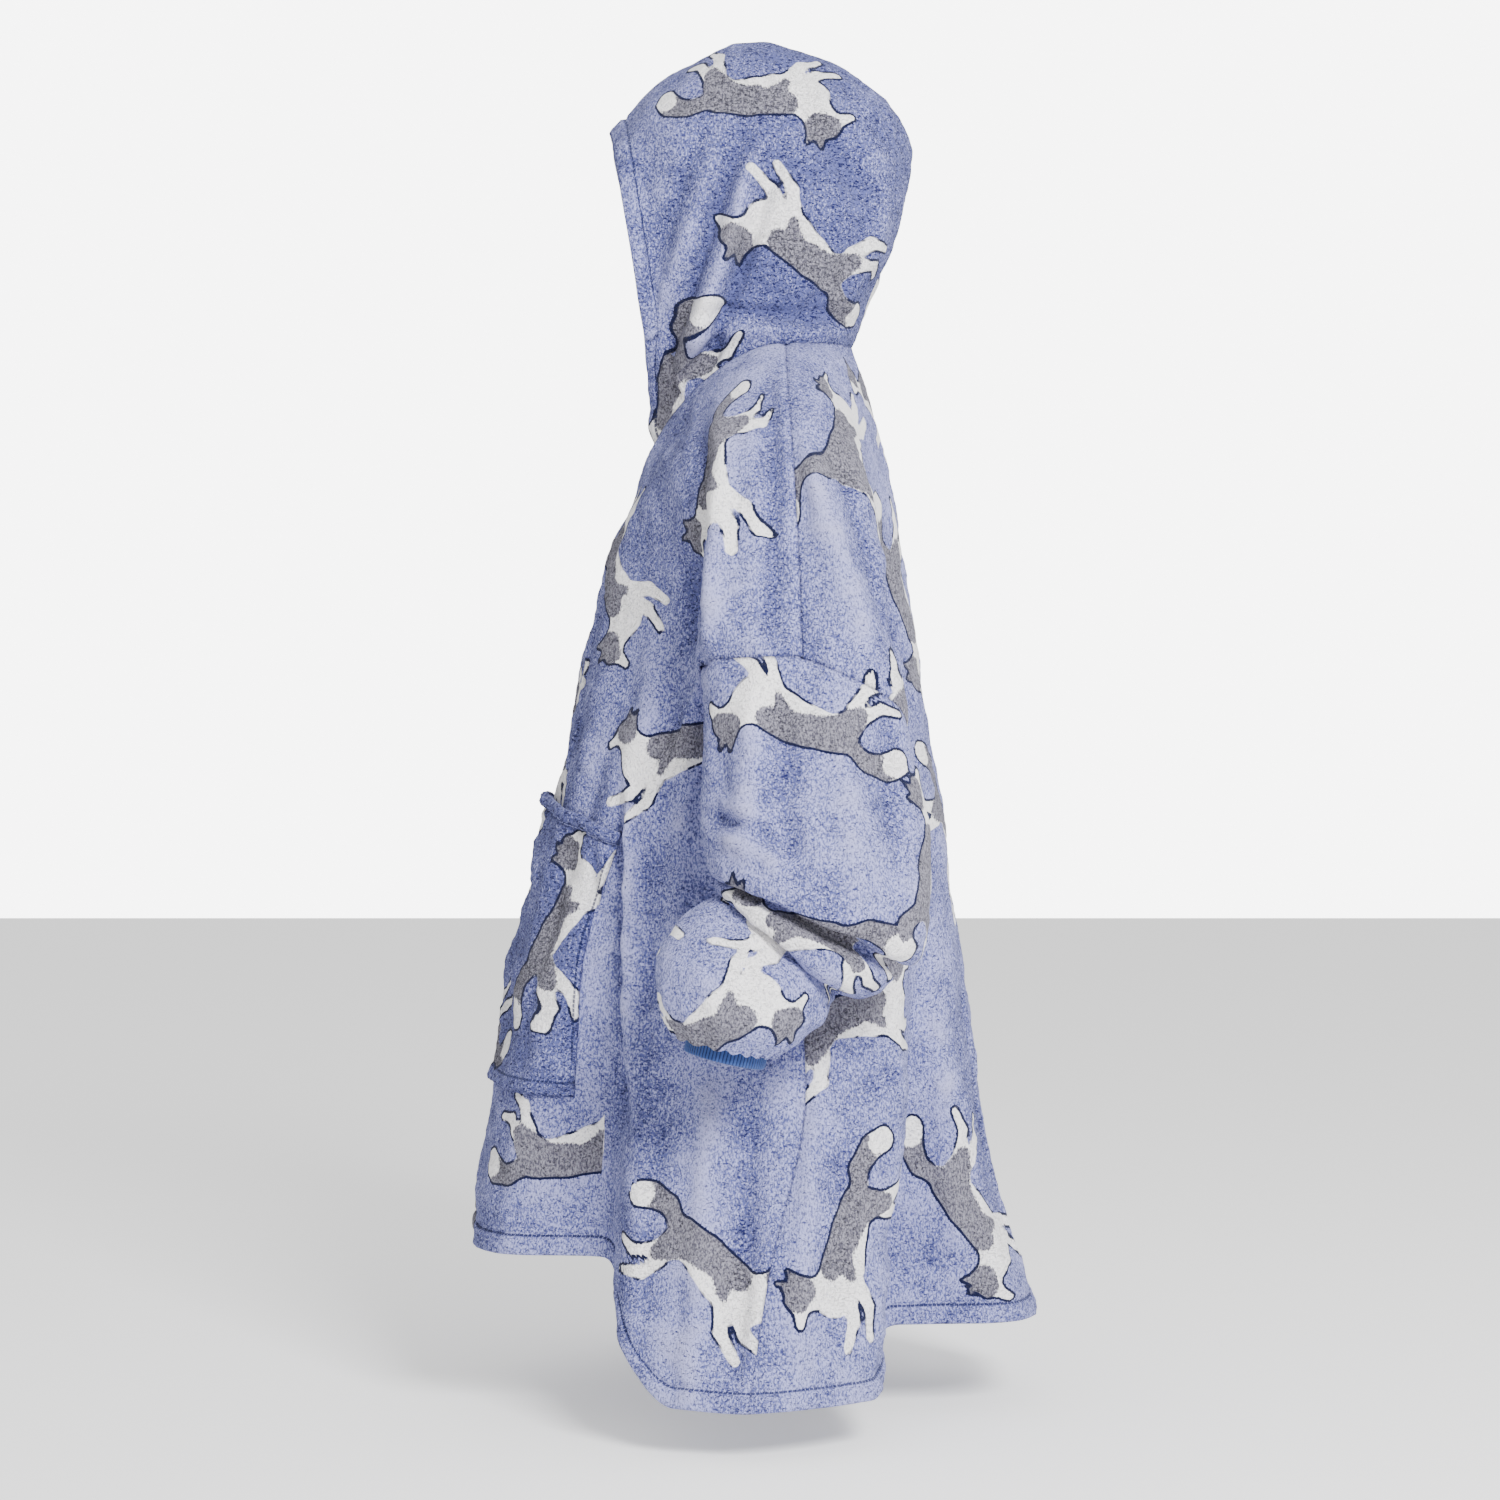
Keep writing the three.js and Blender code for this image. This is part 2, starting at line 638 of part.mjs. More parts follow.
// Hood halves: along runs from the face edge to the nape, up from the neck seam to the crown
function neckPoint(along) {
  const around = along * 2;
  const quarter = around <= 1 ? 'front' : 'back';
  const s = around <= 1 ? around : 2 - around;
  return capePoint(quarter, 1, s, 0);
}

function seamPoint(table, t) {
  const place = t * (table.length - 1);
  const x = 'x' in table[0] ? Math.max(column(table, 'x', place), 0) : 0;
  return new THREE.Vector3(x, column(table, 'y', place), column(table, 'z', place));
}

function hoodPoint(along, up) {
  const bottom = neckPoint(along);
  const top = seamPoint(CROWN_SEAM, along);
  const face = seamPoint(FACE_EDGE, up);
  const nape = seamPoint(NAPE_SEAM, up);
  const corners = [neckPoint(0), neckPoint(1), seamPoint(CROWN_SEAM, 0), seamPoint(CROWN_SEAM, 1)];
  const patch = (name) => {
    const sides = mix(face[name], nape[name], along);
    const ends = mix(bottom[name], top[name], up);
    const lower = mix(corners[0][name], corners[1][name], along);
    const upper = mix(corners[2][name], corners[3][name], along);
    return sides + ends - mix(lower, upper, up);
  };
  const behind = Math.max((along - HOOD_WIDEST) / (1 - HOOD_WIDEST), 0);
  const roundBack = (1 - behind ** HOOD_BACK_POWER) ** (1 / HOOD_BACK_POWER);
  const roundTop = (1 - up ** HOOD_TOP_POWER) ** (1 / HOOD_TOP_POWER);
  const dome = HOOD_HALF_WIDTH * roundBack * roundTop;
  const fromFace = mix(face.x, dome, smooth(along / HOOD_WIDEST));
  const x = mix(bottom.x, fromFace, smooth(up / HOOD_FILLED));
  const point = new THREE.Vector3(x, patch('y'), patch('z'));
  let depth = 0;
  for (const fold of HOOD_FOLDS) {
    const fade = smooth((up - fold.low) / 0.15) * (1 - smooth((up - fold.high + 0.15) / 0.15));
    depth += fold.depth * fade * bump(along - fold.along - fold.lean * up, fold.width);
  }
  for (const wrinkle of COLLAR_WRINKLES) {
    const spread = smooth(along / 0.2) * (1 - smooth((along - 0.8) / 0.2));
    depth += wrinkle.depth * spread * bump(up - wrinkle.up, wrinkle.width * 2);
  }
  point.x = Math.max(point.x + depth * Math.min(point.x / 40, 1), 0);
  return point;
}

function makeHood(side) {
  const hood = new Sheet(side > 0 ? 'hood_left' : 'hood_right', PLUSH);
  hood.neckGapScale = 2; // most of its columns are twice as far apart as the body's
  const columns = FACE_HEM.map((item) => item.column);
  for (let c = columns[columns.length - 1] + 2; c <= 2 * QUARTER_COLUMNS; c += 2) {
    columns.push(c);
  }
  const rows = [];
  for (let r = HOOD_ROWS; r >= 0; r -= 1) {
    const up = 1 - (1 - r / HOOD_ROWS) ** HOOD_ROW_POWER;
    const alongs = columns.map((c) => c / (2 * QUARTER_COLUMNS));
    rows.push(alongs.map((along) => mirrored(hoodPoint(along, up), side)));
  }
  const atEnd = (r) => r === 0 || r === HOOD_ROWS;
  hood.addGrid(rows, (r, c) => (atEnd(r) ? 0 : FACE_HEM[c]?.outset ?? 0), side < 0);
  return hood;
}

// Pocket, made from the front panel's own points moved out
function pocketSpot(c, t) {
  const side = c < 0 ? -1 : 1;
  const share = Math.abs(c) / POCKET_COLUMNS;
  const top = mix(POCKET.topCentre, POCKET.topCorner, share ** 2);
  const bottom = mix(POCKET.bottomCentre, POCKET.bottomCorner, share ** 2);
  const s = Math.abs(c) / QUARTER_COLUMNS;
  return { side, s, share, height: mix(top, bottom, t) };
}

function frontNormal(side, s, level) {
  const across = 1 / QUARTER_COLUMNS;
  const down = 0.1;
  const left = torsoPoint('front', side, Math.max(s - across, 0), level);
  const right = torsoPoint('front', side, s + across, level);
  const high = torsoPoint('front', side, s, level - down);
  const low = torsoPoint('front', side, s, level + down);
  const normal = low.sub(high).cross(right.sub(left));
  if (s === 0) {
    normal.x = 0;
  }
  return normal.normalize();
}

function makePocket() {
  const pocket = new Sheet('pocket', PLUSH);
  pocket.plainInside = true;
  const rows = POCKET_ROWS.map((t) => {
    const row = [];
    for (let c = -POCKET_COLUMNS; c <= POCKET_COLUMNS; c += 1) {
      const spot = pocketSpot(c, t);
      const level = levelAtHeight('front', spot.side, spot.s, spot.height);
      const normal = frontNormal(spot.side, spot.s, level);
      const sides = 1 - spot.share ** 4;
      const fullness = Math.max(Math.sin(Math.PI * Math.min(t + 0.25, 1)), 0) ** 0.6;
      const lift = WALL + POCKET_SEAT + POCKET_BULGE * sides * fullness;
      const point = torsoPoint('front', spot.side, spot.s, level).addScaledVector(normal, lift);
      row.push(mirrored(point, spot.side));
    }
    return row;
  });
  const outsets = [1, POCKET_HEM_RISE, POCKET_HEM_RISE, -STITCH_INSET, 0, 0, 0, 0, 1, 1];
  pocket.addGrid(rows, (r) => outsets[r]);
  return pocket;
}

const front = makePanel('front');
const back = makePanel('back');
const sheets = [front, back];
for (const side of [1, -1]) {
  sheets.push(makeSleeve(side), makeHood(side));
}
fixNeckNormals();
fixUnderarmNormals();
sheets.push(makePocket());

const group = new THREE.Group();
group.name = 'wearable_blanket_hoodie';
for (const sheet of sheets) {
  group.add(sheet.mesh());
}
group.add(makeCuff(1), makeCuff(-1));

export default group;
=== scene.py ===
"""Wearable blanket hoodie of printed plush: its looks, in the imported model's frame.

The garment faces -Y and its left sleeve is at +X. Shapes are worked out in millimetres and
turned to metres when a mesh is made.
"""

import logging
import math
from dataclasses import dataclass, field
from enum import Enum

import bpy
import numpy as np
from mathutils import Matrix, Vector


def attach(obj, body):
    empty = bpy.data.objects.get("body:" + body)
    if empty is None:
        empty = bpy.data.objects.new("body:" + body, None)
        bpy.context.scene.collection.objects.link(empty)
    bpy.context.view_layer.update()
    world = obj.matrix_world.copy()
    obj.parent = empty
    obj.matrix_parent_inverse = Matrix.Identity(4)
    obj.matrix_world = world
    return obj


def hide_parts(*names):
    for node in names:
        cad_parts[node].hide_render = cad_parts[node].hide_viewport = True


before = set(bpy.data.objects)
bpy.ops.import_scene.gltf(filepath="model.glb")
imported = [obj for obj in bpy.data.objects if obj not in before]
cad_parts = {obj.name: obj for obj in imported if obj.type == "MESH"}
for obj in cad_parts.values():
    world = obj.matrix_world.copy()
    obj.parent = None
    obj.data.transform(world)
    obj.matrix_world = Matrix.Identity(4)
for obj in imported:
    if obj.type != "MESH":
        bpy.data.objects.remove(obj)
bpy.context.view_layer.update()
log = logging.getLogger("hoodie")

MM = 0.001

# Driving dimensions, in millimetres
WALL = 3.0
QUARTER_COLUMNS = 112  # from a centre line to the side seam
CAPE_ROWS = 72
TORSO_ROWS = 138
ARM_START = 0.5
ARMHOLE_LEVEL = 5.0
BELOW_ARMHOLE = 5.02
HEM_LEVEL = 11.0
UNDERARM_Z = -404.0
UNDERARM_BLEND = 2.4
SLEEVE_CLEARANCE = 2.5
FAR = 60.0  # a distance that stands for none, in the print and stitch fields
TINY = 1e-9
HAIR = 1e-3  # added where a length or a row number may not be nought or the last
HALVINGS = 18  # steps that find a level to within a thousandth of a millimetre

Points = np.ndarray
Table = dict[str, np.ndarray]
Fields = dict[str, np.ndarray]
Band = tuple[float, float]


class Quarter(Enum):
    """Front or back half of the body."""

    FRONT = "front"
    BACK = "back"


class Side(Enum):
    """Left or right of the garment, as the wearer has it."""

    LEFT = 1
    RIGHT = -1


def table_of(names: str, rows: list[list[float]]) -> Table:
    """A table from the names of its columns and its rows.

    Args:
        names: Column names, parted by spaces.
        rows: One list of values a row.

    Returns:
        Each column as an array, by name.
    """
    values = np.array(rows, dtype=float)
    return {name: values[:, index] for index, name in enumerate(names.split())}


# Plan and height of the garment at each level, from the neck to the armhole
PLAN = "frontY frontZ sideX sideY sideZ backY backZ frontPower backPower"
FALL = "frontFallStart frontFallEnd backFallStart backFallEnd"
CAPE = table_of(f"{PLAN} {FALL}", [
    [-127, -83, 98, 0, 5, 66, 10, 1, 1, 0, 1, 0, 1],
    [-147, -146, 150, 0, -20, 86, -62, 1, 0.95, 0, 1, 0, 1],
    [-170, -190, 207, 2, -62, 100, -135, 1, 0.9, 0, 1, 0, 1],
    [-182, -235, 258, 6, -130, 114, -212, 1.05, 0.9, 0, 1, 0.1, 1.02],
    [-192, -275, 290, 10, -212, 129, -300, 1.1, 0.9, 0, 1, 0.25, 1.04],
    [-199, -312, 312, 13, -298, 144, -392, 1.1, 0.9, 0, 1, 0.38, 1.06],
])
# From the armhole to the hem
TORSO = table_of(f"{PLAN} {FALL}", [
    [-199, -312, 178, 13, -392, 144, -392, 0.8, 0.8, 0, 1, 0, 1],
    [-214, -385, 198, 13, -440, 153, -452, 0.8, 0.8, 0, 1, 0, 1],
    [-240, -505, 218, 13, -522, 166, -540, 0.88, 0.85, 0, 1, 0, 1],
    [-262, -600, 236, 14, -615, 178, -628, 0.95, 0.95, 0.1, 0.95, 0.1, 0.9],
    [-281, -700, 262, 14, -720, 191, -720, 1.02, 1.05, 0.25, 0.9, 0.2, 0.8],
    [-297, -783, 296, -16, -845, 210, -822, 1.16, 1.24, 0.42, 0.84, 0.35, 0.74],
    [-303, -851, 330, -36, -966, 243, -924, 1.28, 1.42, 0.5, 0.79, 0.42, 0.66],
])
SLEEVE = table_of("frontY frontZ backY backZ innerX outerX innerDrop", [
    [-77, -348, 114, -398, 196, 327, 46],
    [-78, -398, 125, -440, 206, 346, 24],
    [-76, -448, 127, -485, 214, 364, 8],
    [-71, -480, 122, -542, 222, 378, 0],
    [-64, -494, 110, -570, 228, 376, 0],
    [-54, -492, 84, -566, 240, 352, 0],
    [-64, -502, 93, -586, 232, 370, 0],
    [-60, -512, 66, -604, 238, 364, 0],
    [-58, -507, 40, -594, 250, 344, 0],
    [-86, -524, 42, -604, 244, 368, 0],
    [-112, -560, 36, -616, 248, 384, 0],
    [-116, -602, 18, -632, 256, 386, 0],
    [-103, -632, -12, -652, 276, 374, 0],
])
FACE_EDGE = table_of("y z x", [
    [-127, -83, 0],
    [-131, -40, 44],
    [-137, 20, 72],
    [-146, 82, 86],
    [-156, 140, 84],
    [-165, 190, 62],
    [-171, 224, 0],
])
CROWN_SEAM = table_of("y z x", [
    [-171, 224, 0],
    [-121, 273, 0],
    [-60, 300, 0],
    [-10, 306, 0],
    [48, 288, 0],
    [98, 248, 0],
    [125, 203, 0],
])
NAPE_SEAM = table_of("y z x", [
    [66, 10, 0],
    [81, 55, 0],
    [104, 112, 0],
    [120, 165, 0],
    [125, 203, 0],
])


@dataclass(frozen=True)
class Fold:
    """A hanging fold of the body: a soft ridge, or a valley where its depth is under 0."""

    name: str
    quarters: tuple[Quarter, ...]
    outward: bool
    at: float
    width: float
    depth: float
    start: float
    full: float
    end: float
    right: float


BOTH = (Quarter.FRONT, Quarter.BACK)
FRONT = (Quarter.FRONT,)
BACK = (Quarter.BACK,)
FOLDS = (
    Fold("shoulder seam groove", BOTH, True, 1, 0.13, -13, 0.8, 5, 5.01, 1),
    Fold("armpit front", FRONT, False, 0.48, 0.28, -54, 1, 5, 8, 0.98),
    Fold("arm front ridge", FRONT, False, 0.68, 0.26, 12, 1, 4.5, 5.01, 1),
    Fold("armpit back", BACK, True, 0.4, 0.2, -18, 1, 5, 8, 1.1),
    Fold("arm back ridge", BACK, False, 0.72, 0.24, 28, 1, 5, 5.01, 1),
    Fold("chest ridge", FRONT, True, 0.278, 0.07, 6, 4, 6, 9.5, 0.8),
    Fold("pocket side ridge", FRONT, True, 0.389, 0.07, 8, 3.6, 6, 12, 0.9),
    Fold("front lobe", FRONT, True, 0.3, 0.2, 22, 7, 11, 20, 0.9),
    Fold("front valley", FRONT, True, 0.52, 0.17, -50, 5.6, 11, 20, 1.08),
    Fold("side lobe front", FRONT, True, 0.68, 0.13, 4, 6, 11, 20, 1.8),
    Fold("side lobe back", BACK, True, 0.68, 0.15, 3, 6.5, 11, 20, 2),
    Fold("back valley", BACK, True, 0.46, 0.2, -80, 6, 11, 20, 0.92),
    Fold("back lobe", BACK, True, 0.24, 0.18, 16, 7, 11, 20, 1.05),
)


def mix(low: np.ndarray, high: np.ndarray, share: np.ndarray) -> np.ndarray:
    """Blends two values."""
    return low + (high - low) * share


def smooth(share: np.ndarray) -> np.ndarray:
    """Eases 0 to 1."""
    held = np.clip(share, 0.0, 1.0)
    return held * held * (3 - 2 * held)


def bump(distance: np.ndarray, width: float) -> np.ndarray:
    """A soft hump, 1 at its middle and 0 at its width."""
    share = np.minimum(np.abs(distance / width), 1.0)
    return np.cos(np.pi * share / 2) ** 2


def column(values: np.ndarray, position: np.ndarray | float) -> np.ndarray:
    """Reads a table's column between its rows too, as a smooth curve.

    Args:
        values: The column.
        position: Row numbers, with fractions.

    Returns:
        The values there.
    """
    last = len(values) - 1
    place = np.clip(np.asarray(position, dtype=float), 0, last)
    index = np.minimum(np.floor(place).astype(int), last - 1)
    t = place - index
    p1 = values[index]
    p2 = values[index + 1]
    p0 = np.where(index > 0, values[np.maximum(index - 1, 0)], 2 * p1 - p2)
    p3 = np.where(index + 2 <= last, values[np.minimum(index + 2, last)], 2 * p2 - p1)
    slope = (p2 - p0) * t
    bend = (2 * p0 - 5 * p1 + 4 * p2 - p3) * t * t
    twist = (3 * p1 - p0 - 3 * p2 + p3) * t * t * t
    return (2 * p1 + slope + bend + twist) / 2


class BodySurface:
    """The surface that the front and back panels share, as sums over the tables above."""

    @staticmethod
    def outward(quarter: Quarter, s: np.ndarray) -> Points:
        """The way out from the body's axis.

        Args:
            quarter: Front or back.
            s: Fractions of the quarter.

        Returns:
            A unit vector for each.
        """
        theta = s * np.pi / 2
        sign = -1 if quarter is Quarter.FRONT else 1
        return np.stack([np.sin(theta), sign * np.cos(theta), np.zeros_like(theta)], axis=-1)

    def fold_push(self, quarter: Quarter, side: Side, s: np.ndarray, level: np.ndarray) -> Points:
        """How far the folds move the surface, and where to.

        Args:
            quarter: Front or back.
            side: Left or right.
            s: Fractions of the quarter.
            level: Levels down the body.

        Returns:
            The moves.
        """
        sideways = self.outward(quarter, s)
        lengthways = np.array([0.0, -1.0 if quarter is Quarter.FRONT else 1.0, 0.0])
        push = np.zeros(s.shape + (3,))
        for fold in FOLDS:
            if quarter not in fold.quarters:
                continue
            live = (level >= fold.start) & (level < fold.end)
            grown = smooth((level - fold.start) / (fold.full - fold.start))
            faded = smooth((level - fold.full) / (fold.end - fold.full))
            scale = 1.0 if side is Side.LEFT else fold.right
            height = live * fold.depth * scale * grown * (1 - faded)
            depth = height * bump(s - fold.at, fold.width)
            push += depth[..., None] * (sideways if fold.outward else lengthways)
        return push

    @staticmethod
    def plan_point(table: Table, row: np.ndarray, quarter: Quarter, s: np.ndarray) -> Points:
        """The plain surface of a table.

        Args:
            table: The cape's or the torso's.
            row: Rows of it, with fractions.
            quarter: Front or back.
            s: Fractions of the quarter, from the centre line to the side.

        Returns:
            The points.
        """
        name = quarter.value
        theta = s * np.pi / 2
        power = column(table[f"{name}Power"], row)
        x = column(table["sideX"], row) * np.maximum(np.sin(theta), 0) ** power
        share = np.maximum(np.cos(theta), 0) ** power
        y = mix(column(table["sideY"], row), column(table[f"{name}Y"], row), share)
        start = column(table[f"{name}FallStart"], row)
        end = column(table[f"{name}FallEnd"], row)
        fall = smooth((s - start) / (end - start))
        z = mix(column(table[f"{name}Z"], row), column(table["sideZ"], row), fall)
        return np.stack([x, y, z], axis=-1)

    def cape_point(self, quarter: Quarter, side: Side, s: np.ndarray, level: np.ndarray) -> Points:
        """The surface above the armhole."""
        return self.plan_point(CAPE, level, quarter, s) + self.fold_push(quarter, side, s, level)

    def underarm_point(self, quarter: Quarter, side: Side, s: np.ndarray) -> Points:
        """The armhole's lower arc.

        Args:
            quarter: Front or back.
            side: Left or right.
            s: Fractions of the quarter, from where the arm starts.

        Returns:
            The points.
        """
        middle = np.full_like(s, ARM_START)
        start = self.cape_point(quarter, side, middle, np.full_like(s, ARMHOLE_LEVEL))
        share = (s - ARM_START) / (1 - ARM_START)
        eased = np.sin(np.clip(share, 0, 1) * np.pi / 2)
        x = mix(start[..., 0], TORSO["sideX"][0], eased)
        y = mix(start[..., 1], TORSO["sideY"][0], share)
        z = mix(start[..., 2], UNDERARM_Z, eased)
        return np.stack([x, y, z], axis=-1)

    def torso_point(self, quarter: Quarter, side: Side, s: np.ndarray, level: np.ndarray) -> Points:
        """The surface below the armhole.

        Args:
            quarter: Front or back.
            side: Left or right.
            s: Fractions of the quarter.
            level: Levels down the body, from ARMHOLE_LEVEL.

        Returns:
            The points.
        """
        point = self.plan_point(TORSO, level - ARMHOLE_LEVEL, quarter, s)
        weight = 1 - smooth((level - ARMHOLE_LEVEL) / UNDERARM_BLEND)
        top = np.full_like(s, ARMHOLE_LEVEL)
        in_arm = (s > ARM_START + TINY)[..., None]
        cape = self.cape_point(quarter, side, s, top)
        edge = np.where(in_arm, self.underarm_point(quarter, side, s), cape)
        below = np.full_like(s, BELOW_ARMHOLE)
        plain = self.plan_point(TORSO, np.zeros_like(s), quarter, s)
        plain += self.fold_push(quarter, side, s, below)
        held = np.maximum(level, BELOW_ARMHOLE)
        return point + weight[..., None] * (edge - plain) + self.fold_push(quarter, side, s, held)

    def level_at_height(
        self, quarter: Quarter, side: Side, s: np.ndarray, height: np.ndarray
    ) -> np.ndarray:
        """The levels at which lines down the body reach heights.

        Args:
            quarter: Front or back.
            side: Left or right.
            s: Fractions of the quarter.
            height: Heights in millimetres.

        Returns:
            The levels.
        """
        high = np.full_like(s, ARMHOLE_LEVEL)
        low = np.full_like(s, HEM_LEVEL)
        for _ in range(HALVINGS):
            middle = (high + low) / 2
            above = self.torso_point(quarter, side, s, middle)[..., 2] > height
            high = np.where(above, middle, high)
            low = np.where(above, low, middle)
        return (high + low) / 2


BODY = BodySurface()


def mirrored(points: Points, side: Side) -> Points:
    """Points on the garment's other side, or as they are."""
    return points * np.array([float(side.value), 1.0, 1.0])


# The view of the photo, from the garment's left
PIXEL_MM = 0.98
PICTURE_PIXELS = 1500
PICTURE_MIDDLE = PICTURE_PIXELS / 2
VIEW_DISTANCE = 3200.0
VIEW_Y = -34.0
VIEW_Z = -382.0


def picture_place(points: Points) -> np.ndarray:
    """Where points show in the view from the left, as Y and Z in the plane through the middle.

    Args:
        points: Places in millimetres.

    Returns:
        The Y and Z of each.
    """
    near = VIEW_DISTANCE / (VIEW_DISTANCE - points[..., 0])
    y = VIEW_Y + (points[..., 1] - VIEW_Y) * near
    z = VIEW_Z + (points[..., 2] - VIEW_Z) * near
    return np.stack([y, z], axis=-1)


def seen_at(px: float, py: float) -> np.ndarray:
    """The Y and Z in that plane of a place in the photo's pixels.

    Args:
        px: The photo's column.
        py: The photo's row.

    Returns:
        The Y and Z.
    """
    across = VIEW_Y + (px - PICTURE_MIDDLE) * PIXEL_MM
    up = VIEW_Z - (py - PICTURE_MIDDLE) * PIXEL_MM
    return np.array([across, up])


FIELD_WAVES = 10


def soft_field(points: Points, wavelength: float, seed: int) -> np.ndarray:
    """A smooth uneven field, about -1 to 1, from a few plane waves.

    Args:
        points: Places in millimetres.
        wavelength: Size of its swells.
        seed: Which field.

    Returns:
        The field at the points.
    """
    draw = np.random.default_rng(seed)
    total = np.zeros(points.shape[:-1])
    for _ in range(FIELD_WAVES):
        way = draw.normal(size=3)
        way /= np.linalg.norm(way)
        length = wavelength * draw.uniform(0.75, 1.45)
        total += np.cos(points @ way * 2 * np.pi / length + draw.uniform(0, 2 * np.pi))
    return total / math.sqrt(FIELD_WAVES)


@dataclass(frozen=True)
class Limb:
    """One tapered stroke of the printed fox, from one round end to the other."""

    name: str
    grey: bool
    start: tuple[float, float, float]
    end: tuple[float, float, float]


# The fox runs to the left, in millimetres: x, y and radius at each end of a stroke
FOX = (
    Limb("chest", False, (-44, 2, 21), (-14, -2, 18)),
    Limb("belly", False, (-14, -4, 15), (24, -1, 11)),
    Limb("neck", False, (-50, 14, 15), (-57, 24, 12)),
    Limb("saddle", True, (-25, 12, 11), (8, 9, 14)),
    Limb("loin", True, (8, 9, 14), (36, 5, 16)),
    Limb("shoulder", True, (-12, 6, 11), (-22, -11, 4)),
    Limb("haunch", True, (36, 3, 16), (46, -10, 11)),
    Limb("head", True, (-68, 33, 10), (-57, 31, 11)),
    Limb("muzzle", False, (-71, 28, 7), (-88, 20, 3)),
    Limb("cheek", False, (-66, 24, 7), (-60, 19, 8)),
    Limb("near ear", True, (-61, 41, 5), (-63, 53, 1.5)),
    Limb("far ear", True, (-53, 40, 5), (-49, 50, 1.5)),
    Limb("far foreleg", False, (-38, -13, 8), (-56, -27, 5)),
    Limb("far forefoot", False, (-56, -27, 5), (-82, -33, 3.4)),
    Limb("near foreleg", False, (-24, -15, 8), (-38, -37, 5)),
    Limb("near forefoot", False, (-38, -37, 5), (-62, -50, 3.4)),
    Limb("thigh", True, (44, -8, 12), (54, -22, 7)),
    Limb("far hind leg", False, (56, -20, 6.5), (74, -34, 4.2)),
    Limb("far hind foot", False, (74, -34, 4.2), (96, -34, 3.2)),
    Limb("near hind leg", False, (46, -24, 6.5), (56, -46, 4.4)),
    Limb("near hind foot", False, (56, -46, 4.4), (76, -56, 3.2)),
    Limb("tail root", True, (46, 8, 8), (66, 19, 8)),
    Limb("brush", True, (66, 19, 8), (88, 17, 12)),
    Limb("brush tip", False, (96, 13, 12), (101, 10, 12)),
)
FOX_REACH = 118.0
LIMB_BLEND = 4.0
FULLER = 1.0  # how much the whole fox is filled out
BACK_LINE = 4.0  # above it the outline is full, below it is thin and broken
LEG_INK = 0.4
TAIL_START = 62.0  # from here back the outline is full again
RUN_BEND = 7.0  # a running body curves
RUN_LENGTH = 46.0


def limb_distance(u: np.ndarray, v: np.ndarray, limb: Limb) -> np.ndarray:
    """Distance to a tapered stroke's edge, under 0 inside.

    Args:
        u: Places along the fox.
        v: Places up the fox.
        limb: The stroke.

    Returns:
        A distance for each place, in millimetres.
    """
    ax, ay, ar = limb.start
    bx, by, br = limb.end
    along = ((u - ax) * (bx - ax) + (v - ay) * (by - ay)) / ((bx - ax) ** 2 + (by - ay) ** 2)
    held = np.clip(along, 0, 1)
    gap = np.hypot(u - mix(ax, bx, held), v - mix(ay, by, held))
    return gap - mix(ar, br, held)


def soft_union(a: np.ndarray, b: np.ndarray, blend: float) -> np.ndarray:
    """Joins two shapes with a rounded inner corner."""
    share = np.clip(0.5 + 0.5 * (b - a) / blend, 0, 1)
    return mix(b, a, share) - blend * share * (1 - share)


def fox_fields(u: np.ndarray, v: np.ndarray) -> tuple[np.ndarray, np.ndarray, np.ndarray]:
    """The printed fox as fields over the cloth.

    Args:
        u: Place along the fox, in millimetres.
        v: Place up the fox.

    Returns:
        Distance to its edge, distance to its grey coat, and how much outline there is.
    """
    bend = RUN_BEND * np.sin(u / RUN_LENGTH)
    whole = np.full(u.shape, FAR)
    grey = np.full(u.shape, FAR)
    white = np.full(u.shape, FAR)
    for limb in FOX:
        near = limb_distance(u, v - bend, limb)
        whole = soft_union(whole, near, LIMB_BLEND)
        if limb.grey:
            grey = soft_union(grey, near, LIMB_BLEND)
        elif limb.name == "brush tip":
            white = near
    grey = np.maximum(grey, -white)
    along_back = smooth((v - bend - BACK_LINE) / 8)
    along_tail = smooth((u - TAIL_START) / 10)
    ink = mix(LEG_INK, 1.0, np.maximum(along_back, along_tail))
    return whole - FULLER, grey - FULLER, ink


@dataclass(frozen=True)
class Motif:
    """Where one fox is printed: its middle as the photo shows it, its turn and its facing."""

    piece: str
    px: float
    py: float
    turn: float
    flip: bool = False


# Places on the side that shows, in the photo's pixels, and turns in degrees
MOTIFS = (
    Motif("hood_left", 762, 92, 172),
    Motif("hood_left", 808, 246, 152, True),
    Motif("hood_left", 672, 400, 52),
    Motif("front", 712, 470, 88),
    Motif("back", 852, 440, 60, True),
    Motif("back", 905, 605, 105),
    Motif("front", 615, 580, 122),
    Motif("front", 565, 745, 95),
    Motif("front", 678, 755, 4),
    Motif("sleeve_left", 800, 718, 165, True),
    Motif("sleeve_left", 930, 868, 66, True),
    Motif("sleeve_left", 806, 932, -24),
    Motif("sleeve_left", 712, 1022, 202),
    Motif("pocket", 556, 925, 72, True),
    Motif("front", 578, 1150, 180),
    Motif("front", 712, 1268, -30, True),
    Motif("back", 850, 1246, 58),
    Motif("back", 858, 1020, 22, True),
    Motif("back", 978, 1212, 120),
)
